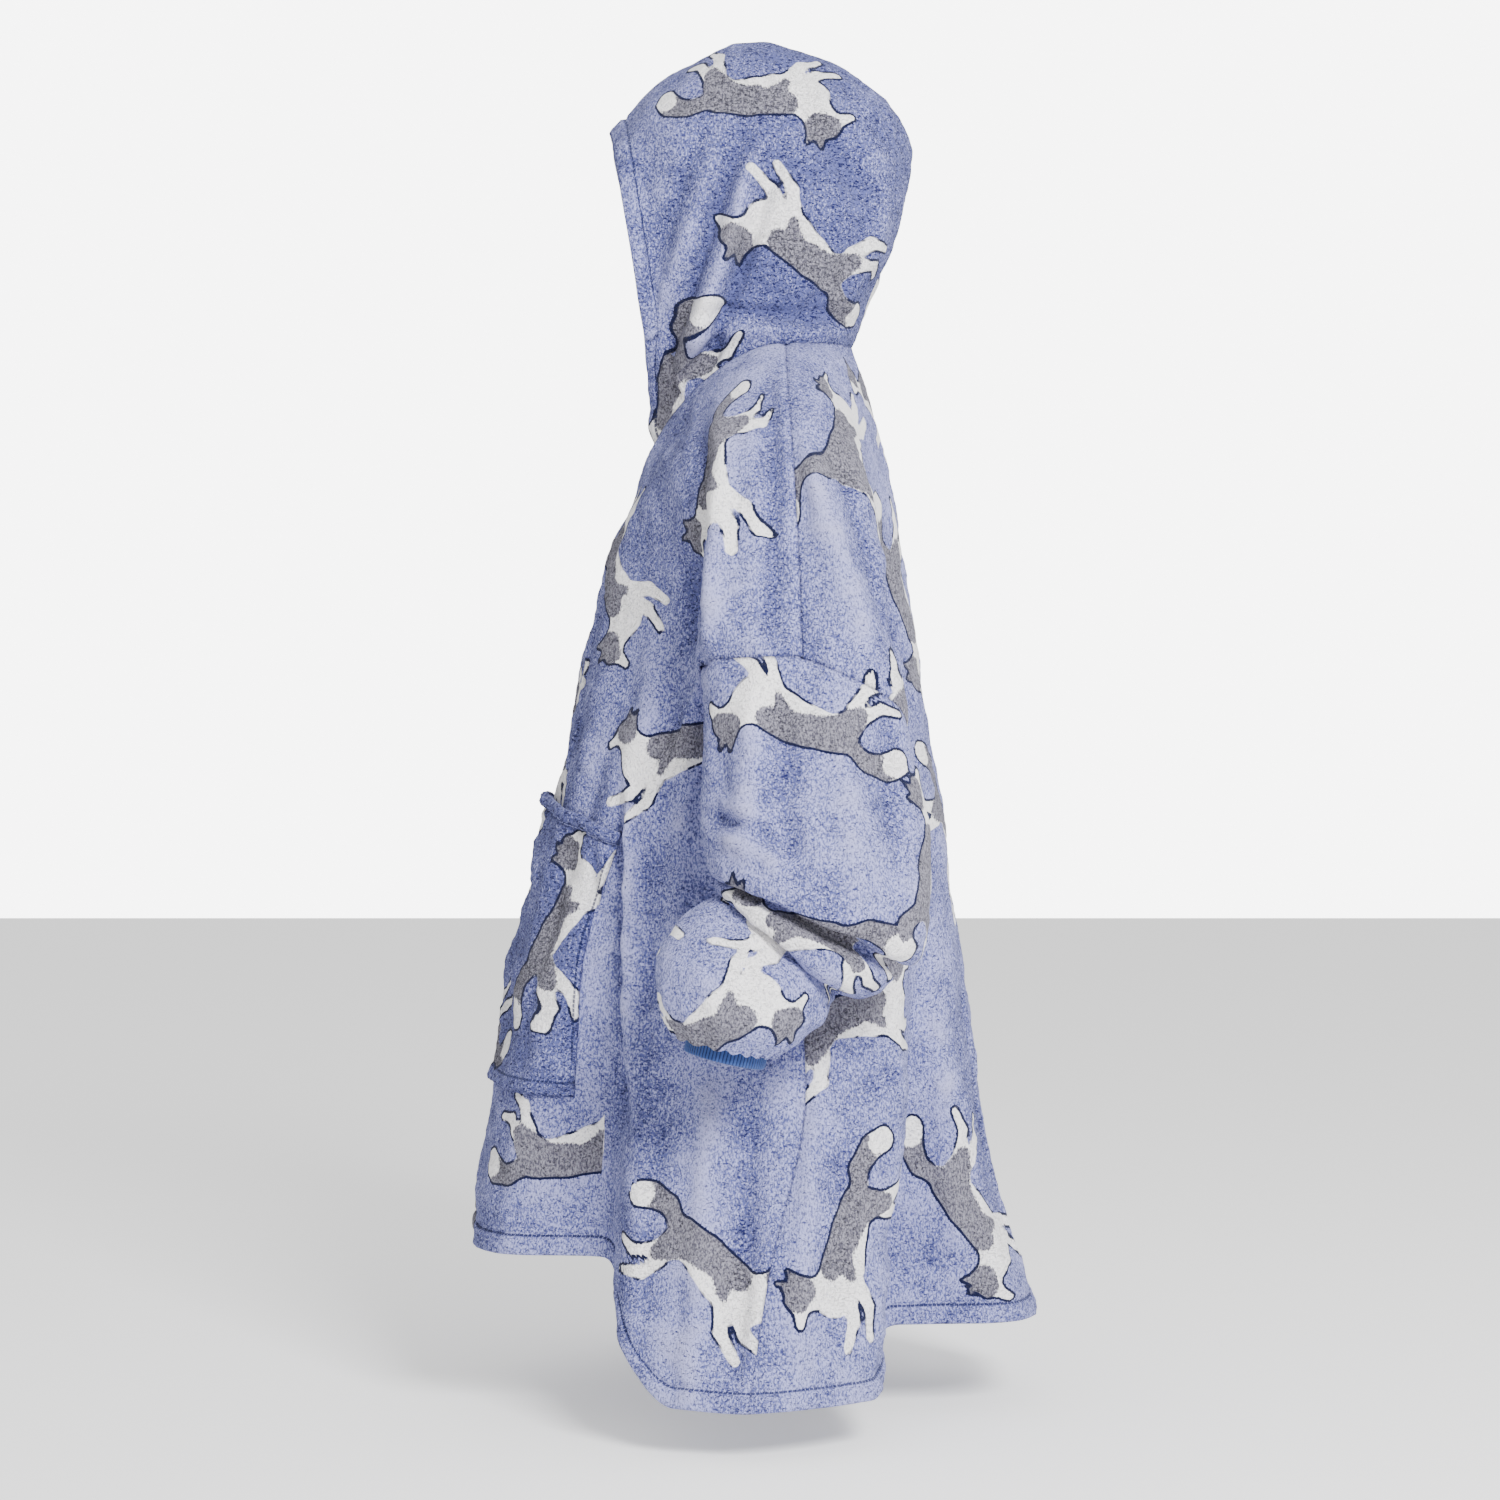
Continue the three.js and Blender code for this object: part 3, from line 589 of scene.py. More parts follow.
# What the view doesn't show is filled with more foxes at about the same spacing
MOTIF_SPACING = 190.0
PIECE_SPACING = 105.0  # between foxes on neighbouring pieces
SHOWN_FACING = 0.3  # cloth that faces the view more than this has the foxes above only
FACING_VIEW = 0.05  # the least facing of a place that the view shows
FILL_STEP = 9  # rows and columns between the places that are tried
STRETCH_RANGE = (0.6, 1.6)
FILL_TURNS = (15, 196, 74, 250, 130, 318, 40, 224, 100, 285)


@dataclass
class Grid:
    """A grid of points whose rows run down and whose columns run anticlockwise seen from above.

    Attributes:
        points: Rows by columns by 3, in millimetres.
        closed: Whether the last column is the first again.
        seam_distance: Distance to the nearest seam.
        stitch: Signed distance to a row of stitches.
        run: Distance along that row.
        lift: How far details move each point out.
        fold: The painted shade field: how high each point is on the soft folds, plus the
        piece's painted shade and light; the plush paints ridges paler and troughs darker by it.
        island: Numbers that part what a print may not cross.
    """

    points: Points
    closed: bool = False
    seam_distance: np.ndarray | None = None
    stitch: np.ndarray | None = None
    run: np.ndarray | None = None
    lift: np.ndarray | None = None
    fold: np.ndarray | None = None
    island: np.ndarray | None = None

    def __post_init__(self) -> None:
        """Fills the fields that were left open."""
        shape = self.points.shape[:2]
        for name in ("seam_distance", "stitch"):
            if getattr(self, name) is None:
                setattr(self, name, np.full(shape, FAR))
        for name in ("run", "lift", "fold", "island"):
            if getattr(self, name) is None:
                setattr(self, name, np.zeros(shape))

    def across(self) -> np.ndarray:
        """Distance along each row from its first column."""
        steps = np.linalg.norm(np.diff(self.points, axis=1), axis=-1)
        return np.concatenate([np.zeros((len(steps), 1)), np.cumsum(steps, axis=1)], axis=1)

    def down(self) -> np.ndarray:
        """Distance down each column from its first row."""
        steps = np.linalg.norm(np.diff(self.points, axis=0), axis=-1)
        return np.concatenate([np.zeros((1, steps.shape[1])), np.cumsum(steps, axis=0)], axis=0)

    def normals(self) -> Points:
        """The way out at each point.

        Returns:
            A unit vector for each point.
        """
        if self.closed:
            body = self.points[:, :-1]
            across = np.roll(body, -1, axis=1) - np.roll(body, 1, axis=1)
            across = np.concatenate([across, across[:, :1]], axis=1)
        else:
            across = np.gradient(self.points, axis=1)
        down = np.gradient(self.points, axis=0)
        normal = np.cross(down, across)
        return normal / np.maximum(np.linalg.norm(normal, axis=-1, keepdims=True), TINY)

    def tangents(self, normal: Points) -> tuple[Points, Points]:
        """The way right and the way up the cloth, as seen from outside.

        Args:
            normal: The way out at each point.

        Returns:
            Two unit vectors for each point.
        """
        up = np.array([0.0, 0.0, 1.0]) - normal[..., 2:3] * normal
        up += np.array([0.0, 0.002, 0.0])
        up /= np.maximum(np.linalg.norm(up, axis=-1, keepdims=True), TINY)
        return np.cross(up, normal), up


class Print:
    """The tossed fox print, laid on the grids of each piece."""

    def __init__(self) -> None:
        """Starts with no fox printed."""
        self.middles: list[tuple[str, Points]] = []

    @staticmethod
    def local_places(grid: Grid, row: int, col: int) -> tuple[np.ndarray, np.ndarray]:
        """Cloth places about a point, right and up, by steps along its row and then its columns.

        Args:
            grid: The piece's grid.
            row: The point's row.
            col: Its column.

        Returns:
            The places to the right and the places up, in millimetres.
        """
        points = grid.points
        normal = grid.normals()
        shift = 0
        if grid.closed:
            shift = col - points.shape[1] // 2
            points = np.roll(points[:, :-1], -shift, axis=1)
            normal = np.roll(normal[:, :-1], -shift, axis=1)
            col = col - shift
        right, up = Grid(points).tangents(normal)
        places = []
        for way in (right, up):
            row_way = (way[:, 1:] + way[:, :-1]) / 2
            row_steps = np.einsum("rck,rck->rc", np.diff(points, axis=1), row_way)
            col_way = (way[1:] + way[:-1]) / 2
            col_steps = np.einsum("rck,rck->rc", np.diff(points, axis=0), col_way)
            along = np.concatenate([[0.0], np.cumsum(row_steps[row])])
            down = np.concatenate([np.zeros((1, points.shape[1])), np.cumsum(col_steps, axis=0)])
            place = (along - along[col])[None, :] + down - down[row][None, :]
            if grid.closed:
                place = np.roll(place, shift, axis=1)
                place = np.concatenate([place, place[:, :1]], axis=1)
            places.append(place)
        return places[0], places[1]

    @staticmethod
    def stretch_of(grid: Grid, u: np.ndarray, v: np.ndarray) -> np.ndarray:
        """How much faster u and v run over the cloth than millimetres do.

        Args:
            grid: The piece's grid.
            u: Places along the fox.
            v: Places up the fox.

        Returns:
            A share for each point, 1 where they run alike.
        """
        total = np.zeros(u.shape)
        for axis in (0, 1):
            step = np.linalg.norm(np.gradient(grid.points, axis=axis), axis=-1) + HAIR
            total += (np.gradient(u, axis=axis) / step) ** 2
            total += (np.gradient(v, axis=axis) / step) ** 2
        return np.clip(np.sqrt(total / 2), *STRETCH_RANGE)

    def stamp(
        self,
        grid: Grid,
        fields: Fields,
        row: int,
        col: int,
        turn: float,
        flip: bool,
        unbend: bool = False,
    ) -> None:
        """Prints one fox.

        Args:
            grid: The piece's grid.
            fields: Its print fields, changed in place.
            row: Row of the fox's middle.
            col: Column of it.
            turn: Its turn in degrees.
            flip: Whether it faces the other way.
            unbend: Whether places that lie too near over a strong bend are moved away.
        """
        right, up = self.local_places(grid, row, col)
        if unbend:
            straight = np.linalg.norm(grid.points - grid.points[row, col], axis=-1)
            longer = np.maximum(straight / np.maximum(np.hypot(right, up), 1), 1)
            right, up = right * longer, up * longer
        angle = math.radians(turn)
        u = right * math.cos(angle) + up * math.sin(angle)
        v = -right * math.sin(angle) + up * math.cos(angle)
        if flip:
            u = -u
        near = (np.abs(u) < FOX_REACH) & (np.abs(v) < FOX_REACH)
        near &= (grid.island == grid.island[row, col]) | (grid.island == 0)
        whole, grey, ink = fox_fields(u[near], v[near])
        stretch = self.stretch_of(grid, u, v)[near]
        whole = whole / stretch
        grey = grey / stretch
        closer = whole < fields["print_edge"][near]
        for name, value in (("print_edge", whole), ("grey_edge", grey), ("ink", ink)):
            fields[name][near] = np.where(closer, value, fields[name][near])

    def is_free(self, name: str, middle: Points) -> bool:
        """Whether a fox fits at a place on a piece.

        Args:
            name: The piece's name.
            middle: Where the fox's middle would be.

        Returns:
            True where it is far enough from every other fox.
        """
        spacing = [
            MOTIF_SPACING if piece == name else PIECE_SPACING for piece, _ in self.middles
        ]
        gaps = np.linalg.norm(np.array([place for _, place in self.middles]) - middle, axis=-1)
        return bool(np.all(gaps > spacing))

    def plan(self, pieces: dict[str, Grid]) -> dict[str, Fields]:
        """Prints all foxes: those that the view shows first, then the rest of the cloth.

        Args:
            pieces: The printed pieces' grids, by name.

        Returns:
            Each piece's print fields.
        """
        fields = {
            name: {
                "print_edge": np.full(grid.points.shape[:2], FAR),
                "grey_edge": np.full(grid.points.shape[:2], FAR),
                "ink": np.ones(grid.points.shape[:2]),
            }
            for name, grid in pieces.items()
        }
        for motif in MOTIFS:
            grid = pieces[motif.piece]
            away = picture_place(grid.points) - seen_at(motif.px, motif.py)
            gap = np.linalg.norm(away, axis=-1)
            gap = np.where(grid.normals()[..., 0] > FACING_VIEW, gap, np.inf)
            row, col = np.unravel_index(np.argmin(gap), gap.shape)
            self.stamp(grid, fields[motif.piece], int(row), int(col), motif.turn, motif.flip)
            self.middles.append((motif.piece, grid.points[row, col]))
        count = 0
        margin = FILL_STEP // 2
        for name, grid in pieces.items():
            facing = grid.normals()[..., 0]
            rows, cols = facing.shape
            for row in range(FILL_STEP, rows - margin, FILL_STEP):
                for col in range(margin, cols - margin, FILL_STEP):
                    middle = grid.points[row, col]
                    if facing[row, col] < SHOWN_FACING and self.is_free(name, middle):
                        turn = FILL_TURNS[count % len(FILL_TURNS)]
                        flip = count % 2 == 1
                        self.stamp(grid, fields[name], row, col, turn, flip, unbend=True)
                        self.middles.append((name, middle))
                        count += 1
        log.info("foxes printed: %d", len(self.middles))
        return fields


# The fields of the print, the stitches and the seams, which the inside has nothing of
FAR_INSIDE = ("print_edge", "grey_edge", "stitch", "seam_distance")


def set_field(mesh: bpy.types.Mesh, name: str, values: np.ndarray) -> None:
    """Gives a mesh's points a float attribute."""
    data = mesh.attributes.new(name, "FLOAT", "POINT").data
    data.foreach_set("value", values.astype(np.float32))


def add_piece(mesh: bpy.types.Mesh) -> bpy.types.Object:
    """Shades a mesh smooth and adds it to the scene.

    Args:
        mesh: The mesh.

    Returns:
        Its object, of the same name.
    """
    mesh.polygons.foreach_set("use_smooth", [True] * len(mesh.polygons))
    mesh.update()
    piece = bpy.data.objects.new(mesh.name, mesh)
    bpy.context.collection.objects.link(piece)
    log.info("%s: %d faces", mesh.name, len(mesh.polygons))
    return piece


class Wall:
    """A closed wall of cloth over one or more grids, fine outside and half as fine inside."""

    def __init__(self, name: str) -> None:
        """Starts an empty wall.

        Args:
            name: The piece's name.
        """
        self.name = name
        self.points: list[Points] = []
        self.fields: dict[str, list[np.ndarray]] = {}
        self.count = 0  # of the outer points
        self.faces: list[np.ndarray] = []
        self.inner_faces: list[tuple[int, int, int, int]] = []
        self.between: dict[tuple[int, int], int] = {}

    def add(
        self, grid: Grid, fields: Fields, flip: bool, weld: np.ndarray | None = None
    ) -> np.ndarray:
        """Adds a grid.

        Args:
            grid: Its points.
            fields: Values at its points, by name.
            flip: Whether its faces turn the other way, on the garment's right.
            weld: Numbers of points that its first row shares, or -1.

        Returns:
            The numbers of its points.
        """
        rows, cols = grid.points.shape[:2]
        index = np.full((rows, cols), -1)
        if weld is not None:
            index[0] = weld
        if grid.closed:
            index[:, -1] = -2
        new = index == -1
        index[new] = self.count + np.arange(new.sum())
        self.count += int(new.sum())
        if grid.closed:
            index[:, -1] = index[:, 0]
        self.points.append(grid.points[new])
        for name, value in fields.items():
            self.fields.setdefault(name, []).append(value[new])
        a, b = index[:-1, :-1], index[1:, :-1]
        e, d = index[1:, 1:], index[:-1, 1:]
        corners = [a, d, e, b] if flip else [a, b, e, d]
        self.faces.append(np.stack(corners, axis=-1).reshape(-1, 4))
        for r in range(0, rows - 1, 2):
            for c in range(0, cols - 1, 2):
                ring = [(r, c), (r + 2, c), (r + 2, c + 2), (r, c + 2)]
                middles = [(r + 1, c), (r + 2, c + 1), (r + 1, c + 2), (r, c + 1)]
                if flip:
                    ring = [ring[0], ring[3], ring[2], ring[1]]
                    middles = middles[::-1]
                numbers = [int(index[place]) for place in ring]
                self.inner_faces.append(tuple(numbers))
                for k in range(4):
                    self.between[(numbers[k], numbers[(k + 1) % 4])] = int(index[middles[k]])
        return index

    def build(self) -> bpy.types.Object:
        """Makes the mesh, in metres, with its fields as attributes.

        Returns:
            The object.
        """
        points = np.concatenate(self.points)
        faces = np.concatenate(self.faces)
        normal = np.zeros_like(points)
        corners = points[faces]
        cross = np.cross(corners[:, 2] - corners[:, 0], corners[:, 3] - corners[:, 1])
        for k in range(4):
            np.add.at(normal, faces[:, k], cross)
        normal /= np.maximum(np.linalg.norm(normal, axis=-1, keepdims=True), TINY)
        lift = np.concatenate(self.fields.pop("lift"))
        outer = points + normal * lift[:, None]
        used = sorted({number for ring in self.inner_faces for number in ring})
        inner_of = {number: self.count + place for place, number in enumerate(used)}
        inner = outer[used] - normal[used] * WALL
        polygons = [tuple(int(i) for i in ring) for ring in faces]
        for ring in self.inner_faces:
            polygons.append(tuple(inner_of[number] for number in reversed(ring)))
        for (start, end), middle in self.between.items():
            if (end, start) in self.between:
                continue
            low, high = inner_of[start], inner_of[end]
            polygons += [(middle, start, low), (middle, low, high), (end, middle, high)]
        mesh = bpy.data.meshes.new(self.name)
        mesh.from_pydata((np.concatenate([outer, inner]) * MM).tolist(), [], polygons)
        mesh.validate()
        for name, parts in self.fields.items():
            inside = FAR if name in FAR_INSIDE else 0.0
            set_field(mesh, name, np.concatenate([*parts, np.full(len(used), inside)]))
        return add_piece(mesh)


@dataclass(frozen=True)
class Crease:
    """A soft ridge, or trough where its depth is under 0, along a line in the photo's pixels."""

    piece: str
    start: tuple[float, float]
    end: tuple[float, float]
    width: float
    depth: float


CREASES = (
    Crease("front", (726, 420), (706, 650), 11, 10),
    Crease("front", (700, 430), (690, 655), 9, -10),
    Crease("front", (774, 390), (774, 648), 15, -11),
    Crease("front", (630, 780), (634, 1110), 5, 7),
    Crease("front", (619, 800), (622, 1090), 5, -7),
    Crease("front", (642, 800), (648, 1100), 6, -4),
    Crease("pocket", (604, 850), (606, 1050), 5, 5),
    Crease("pocket", (595, 840), (597, 1060), 5, -4),
    Crease("pocket", (552, 830), (520, 1050), 8, 3),
    Crease("pocket", (570, 830), (545, 1060), 7, -3),
    Crease("back", (798, 440), (872, 660), 13, 10),
    Crease("back", (836, 450), (900, 650), 10, -8),
    Crease("back", (866, 420), (925, 640), 9, 5),
    Crease("front", (672, 640), (650, 1000), 14, -6),
    Crease("front", (648, 690), (622, 1080), 13, 5),
    Crease("front", (692, 700), (672, 960), 12, 4),
    Crease("front", (600, 560), (560, 780), 14, -4),
    Crease("front", (712, 1090), (690, 1390), 15, 9),
    Crease("front", (750, 1090), (736, 1390), 13, -8),
    Crease("front", (664, 1080), (640, 1330), 14, -5),
    Crease("back", (806, 1090), (796, 1380), 14, 8),
    Crease("back", (850, 1080), (840, 1300), 14, -4),
    Crease("back", (930, 960), (955, 1250), 13, 7),
    Crease("back", (962, 1000), (1004, 1250), 12, -7),
    Crease("sleeve_left", (752, 690), (744, 850), 13, 8),
    Crease("sleeve_left", (782, 690), (790, 880), 13, -8),
    Crease("sleeve_left", (838, 720), (862, 900), 16, 8),
    Crease("sleeve_left", (888, 740), (896, 880), 12, -6),
    Crease("sleeve_left", (718, 740), (716, 850), 10, -5),
    Crease("sleeve_left", (712, 812), (770, 836), 8, -7),
    Crease("sleeve_left", (708, 800), (762, 818), 8, 6),
    Crease("sleeve_left", (716, 835), (790, 870), 8, 5),
    Crease("sleeve_left", (735, 1000), (860, 1010), 10, -4),
    Crease("sleeve_left", (690, 965), (735, 1035), 12, 4),
    Crease("sleeve_left", (790, 960), (850, 985), 12, 4),
    Crease("hood_left", (752, 165), (668, 425), 9, 14),
    Crease("hood_left", (771, 180), (690, 420), 8, -12),
    Crease("hood_left", (734, 160), (652, 400), 7, -11),
    Crease("hood_left", (716, 150), (644, 360), 8, 6),
    Crease("hood_left", (696, 140), (640, 300), 8, -5),
    Crease("hood_left", (862, 240), (790, 345), 12, -6),
    Crease("hood_left", (886, 200), (840, 340), 10, 4),
    Crease("hood_left", (820, 90), (896, 180), 12, 5),
    Crease("hood_left", (800, 110), (870, 200), 10, -5),
    Crease("hood_left", (706, 312), (850, 318), 6, -6),
    Crease("hood_left", (690, 332), (850, 334), 7, 7),
)
# Painted shade and light of each piece: painted darker, with more dark dashes, under 0, and painted
# paler over 0
PIECE_SHADE = {
    "hood_left": -12.0,
    "hood_right": -12.0,
    "pocket": -11.0,
    "front": 2.0,
    "back": -0.5,
    "sleeve_left": 1.0,
    "sleeve_right": 1.0,
}
# Painted shade where the front panel faces forward, and painted light at the hood's face edge
FRONT_SHADE = -6.5  # added where the front panel faces forward
FACE_EDGE_LIGHT = 9.0  # added at the hood's face edge
PAINT_EDGE = 0.5  # both of these start at this facing or share of the hood's width
PAINT_FADE = 0.4
OTHER_SIDE = {"hood_left": "hood_right", "sleeve_left": "sleeve_right"}
OTHER_SIDE_SHIFT = 14.0
OTHER_SIDE_DEPTH = 0.8
# Height and wavelength of the cloth's soft unevenness, and which field it is
SWELLS = ((1.7, 110, 11), (1.1, 52, 12), (0.5, 24, 13), (0.45, 11, 14))
CREASE_START_X = 60.0  # creases lie farther than this from the garment's middle
CREASE_FADE = 0.25  # share of a crease's length over which each end fades
SEAM_FADE = 20.0  # distance from a seam at which creases are full
SEAM_DIP = 2.4
SEAM_DIP_WIDTH = 4.5
HEM_RISE = 2.4
HEM_ROUND = 1.2
STITCH_DIP = 1.8
STITCH_DIP_WIDTH = 2.0


def crease_lift(name: str, points: Points) -> np.ndarray:
    """How far the creases and soft swells move a piece's points out.

    Args:
        name: The piece's name.
        points: Its points.

    Returns:
        A distance for each point, in millimetres.
    """
    lift = sum(height * soft_field(points, length, seed) for height, length, seed in SWELLS)
    on_left = points[..., 0] > 0
    place = picture_place(np.where(on_left[..., None], points, mirrored(points, Side.RIGHT)))
    for crease in CREASES:
        if name not in (crease.piece, OTHER_SIDE.get(crease.piece)):
            continue
        start = seen_at(*crease.start)
        way = seen_at(*crease.end) - start
        shift = np.where(on_left, 0.0, OTHER_SIDE_SHIFT)
        gap_y = place[..., 0] + shift - start[0]
        gap_z = place[..., 1] - start[1]
        along = (gap_y * way[0] + gap_z * way[1]) / (way @ way)
        away = (gap_y * way[1] - gap_z * way[0]) / np.linalg.norm(way)
        ends = smooth((along + CREASE_FADE) / (2 * CREASE_FADE))
        ends *= smooth((1 + CREASE_FADE - along) / (2 * CREASE_FADE))
        scale = np.where(on_left, 1.0, OTHER_SIDE_DEPTH)
        outer = np.abs(points[..., 0]) > CREASE_START_X
        lift += crease.depth * scale * ends * outer * np.exp(-((away / crease.width) ** 2))
    return lift


def seam_dip(distance: np.ndarray) -> np.ndarray:
    """How far a seam pulls the plush in beside it."""
    return -SEAM_DIP * np.exp(-((distance / SEAM_DIP_WIDTH) ** 2))


def hem_rise(height: np.ndarray, depth: float) -> np.ndarray:
    """How far a turned hem stands out, with the stitches' dip at its depth.

    Args:
        height: Distances from the edge.
        depth: Where the stitches are.

    Returns:
        A distance for each, in millimetres.
    """
    rise = HEM_RISE * smooth((depth + 1 - height) / 3)
    rise -= STITCH_DIP * np.exp(-(((height - depth) / STITCH_DIP_WIDTH) ** 2))
    return rise - HEM_ROUND * (1 - smooth(height / 2.5))


HEM_DEPTH = 18.0
HEM_STEPS = (28, 25, 22.5, 20.5, 18.5, 16.5, 13.5, 9.5, 5.5, 2, 0)  # heights of its rows


@dataclass
class Panel:
    """The front or back panel, from the neck seam to the hem.

    Attributes:
        quarter: Front or back.
        grid: The cape's and torso's rows together, for the print.
    """

    quarter: Quarter
    grid: Grid = field(init=False)

    @property
    def name(self) -> str:
        """The piece's name."""
        return self.quarter.value

    def __post_init__(self) -> None:
        """Works out the panel's points."""
        signed = np.linspace(-1, 1, 2 * QUARTER_COLUMNS + 1)
        turned = signed if self.quarter is Quarter.FRONT else -signed
        s = np.abs(turned)
        cape_levels = np.linspace(0, ARMHOLE_LEVEL, CAPE_ROWS + 1)
        halves = []
        for side in Side:
            cape = BODY.cape_point(self.quarter, side, *np.meshgrid(s, cape_levels))
            hem = BODY.torso_point(self.quarter, side, s, np.full_like(s, HEM_LEVEL))[:, 2]
            heights = np.array(HEM_STEPS[:-1])[:, None] + hem[None, :]
            spread = np.broadcast_to(s, heights.shape)
            steps = BODY.level_at_height(self.quarter, side, spread, heights)
            steps = np.concatenate([steps, np.full((1, len(s)), HEM_LEVEL)])
            plain_rows = TORSO_ROWS - len(HEM_STEPS) + 1
            share = np.linspace(0, 1, plain_rows + 1)[:-1, None]
            levels = np.concatenate([mix(ARMHOLE_LEVEL, steps[:1], share), steps])
            torso = BODY.torso_point(self.quarter, side, np.broadcast_to(s, levels.shape), levels)
            halves.append(mirrored(np.concatenate([cape, torso]), side))
        on_left = (turned >= 0)[None, :, None]
        points = np.where(on_left, halves[0], halves[1])
        in_arm = s > ARM_START + TINY
        island = np.zeros(points.shape[:2])
        island[:CAPE_ROWS + 1, in_arm] = 1
        island[CAPE_ROWS + 1:, in_arm] = 2
        self.grid = Grid(points, island=island)
        self.measure(s, in_arm)

    def measure(self, s: np.ndarray, in_arm: np.ndarray) -> None:
        """Fills the distances to seams and stitches, and the details' lift.

        Args:
            s: Each column's fraction of the quarter.
            in_arm: Whether each column reaches the armhole.
        """
        grid = self.grid
        across = grid.across()
        down = grid.down()
        to_side = np.minimum(across, across[:, -1:] - across)
        to_arm = np.full(to_side.shape, FAR)
        split = CAPE_ROWS
        to_arm[:split + 1, in_arm] = (down[split] - down[:split + 1])[:, in_arm]
        to_arm[split + 1:, in_arm] = (down[split + 1:] - down[split + 1])[:, in_arm]
        grid.seam_distance = np.minimum(np.minimum(to_side, down), to_arm)
        height = down[-1] - down
        grid.stitch = np.where(height < 2 * HEM_DEPTH, height - HEM_DEPTH, FAR)
        grid.run = across
        crease = crease_lift(self.name, grid.points)
        # The painted shade field: fold heights, the piece's painted shade and light, and painted
        # shade where the front faces forward
        forward = smooth((-grid.normals()[..., 1] - PAINT_EDGE) / PAINT_FADE)
        grid.fold = crease + PIECE_SHADE[self.name] + FRONT_SHADE * forward
        lift = crease * smooth(grid.seam_distance / SEAM_FADE)
        lift += seam_dip(np.minimum(to_side, to_arm))
        lift += np.where(height < 2 * HEM_DEPTH, hem_rise(height, HEM_DEPTH), 0)
        grid.lift = lift

    def build(self, fields: Fields) -> bpy.types.Object:
        """Makes the panel's wall.

        Args:
            fields: Its print fields.

        Returns:
            The object.
        """
        wall = Wall(self.name)
        values = all_fields(self.grid, fields)
        s = np.abs(np.linspace(-1, 1, self.grid.points.shape[1]))
        weld = None
        for rows in (slice(0, CAPE_ROWS + 1), slice(CAPE_ROWS + 1, None)):
            part = Grid(self.grid.points[rows])
            index = wall.add(part, {key: value[rows] for key, value in values.items()}, False, weld)
            weld = np.where(s <= ARM_START + TINY, index[-1], -1)
        return wall.build()


def all_fields(grid: Grid, fields: Fields) -> Fields:
    """A piece's print, seam and stitch fields together.

    Args:
        grid: The piece's grid.
        fields: Its print fields.

    Returns:
        All of them, by name.
    """
    return {
        **fields,
        "seam_distance": grid.seam_distance,
        "stitch": grid.stitch,
        "run": grid.run,
        "lift": grid.lift,
        # The painted shade field
        "fold": grid.fold,
    }


def wall_of(name: str, grid: Grid, fields: Fields, flip: bool = False) -> bpy.types.Object:
    """Makes the wall of a piece that is one grid.

    Args:
        name: The piece's name.
        grid: Its grid.
        fields: Its print fields.
        flip: Whether it is on the garment's right.

    Returns:
        The object.
    """
    wall = Wall(name)
    wall.add(grid, all_fields(grid, fields), flip)
    return wall.build()


def even_steps(values: np.ndarray, points: Points, axis: int, count: int) -> np.ndarray:
    """Values of one of a surface's two places whose longest steps are about even.

    Args:
        values: Even values of that place.
        points: The surface at them.
        axis: Which axis of the points they run along.
        count: How many values are wanted.

    Returns:
        The values.
    """
    steps = np.linalg.norm(np.diff(points, axis=axis), axis=-1).max(axis=1 - axis)
    run = np.concatenate([[0.0], np.cumsum(steps)])
    return np.interp(np.linspace(0, run[-1], count), run, values)


HOOD_HALF_WIDTH = 116.0
HOOD_WIDEST = 0.38
HOOD_FILLED = 0.42
HOOD_BACK_POWER = 2.3
HOOD_TOP_POWER = 2.8
HOOD_HEM = 20.0
NECK_TUCK = 2.5  # how far the hood's lower edge is sewn down inside the neck
NECK_TUCK_WIDTH = 4.0
HOOD_COLUMNS = 109
HOOD_ROWS = 117
HOOD_TRIAL = 241  # rows and columns that the even steps are worked out from


@dataclass(frozen=True)
class HoodFold:
    """A soft ridge up each hood half, or a trough where its depth is under 0.

    Attributes:
        depth: How far it stands out, in millimetres.
        at: Share of the way from the face edge to the back, at the neck.
        slant: How much that share grows up to the crown.
        width: Half its width, as such a share.
        start: Share of the height where it starts.
        end: Share of the height where it starts to fade.
    """

    depth: float
    at: float
    slant: float
    width: float
    start: float
    end: float


HOOD_FOLDS = (
    HoodFold(7, 0.3, -0.12, 0.13, 0.1, 0.7),
    HoodFold(-6, 0.16, -0.1, 0.1, 0.15, 0.65),
    HoodFold(-5, 0.78, 0.1, 0.14, 0.1, 0.45),
)
HOOD_FOLD_FADE = 0.15
HOOD_ROLL = 3.0
HOOD_ROLL_AT = 0.19
HOOD_DIP = 4.0
HOOD_DIP_AT = 0.1
HOOD_ROLL_WIDTH = 0.1


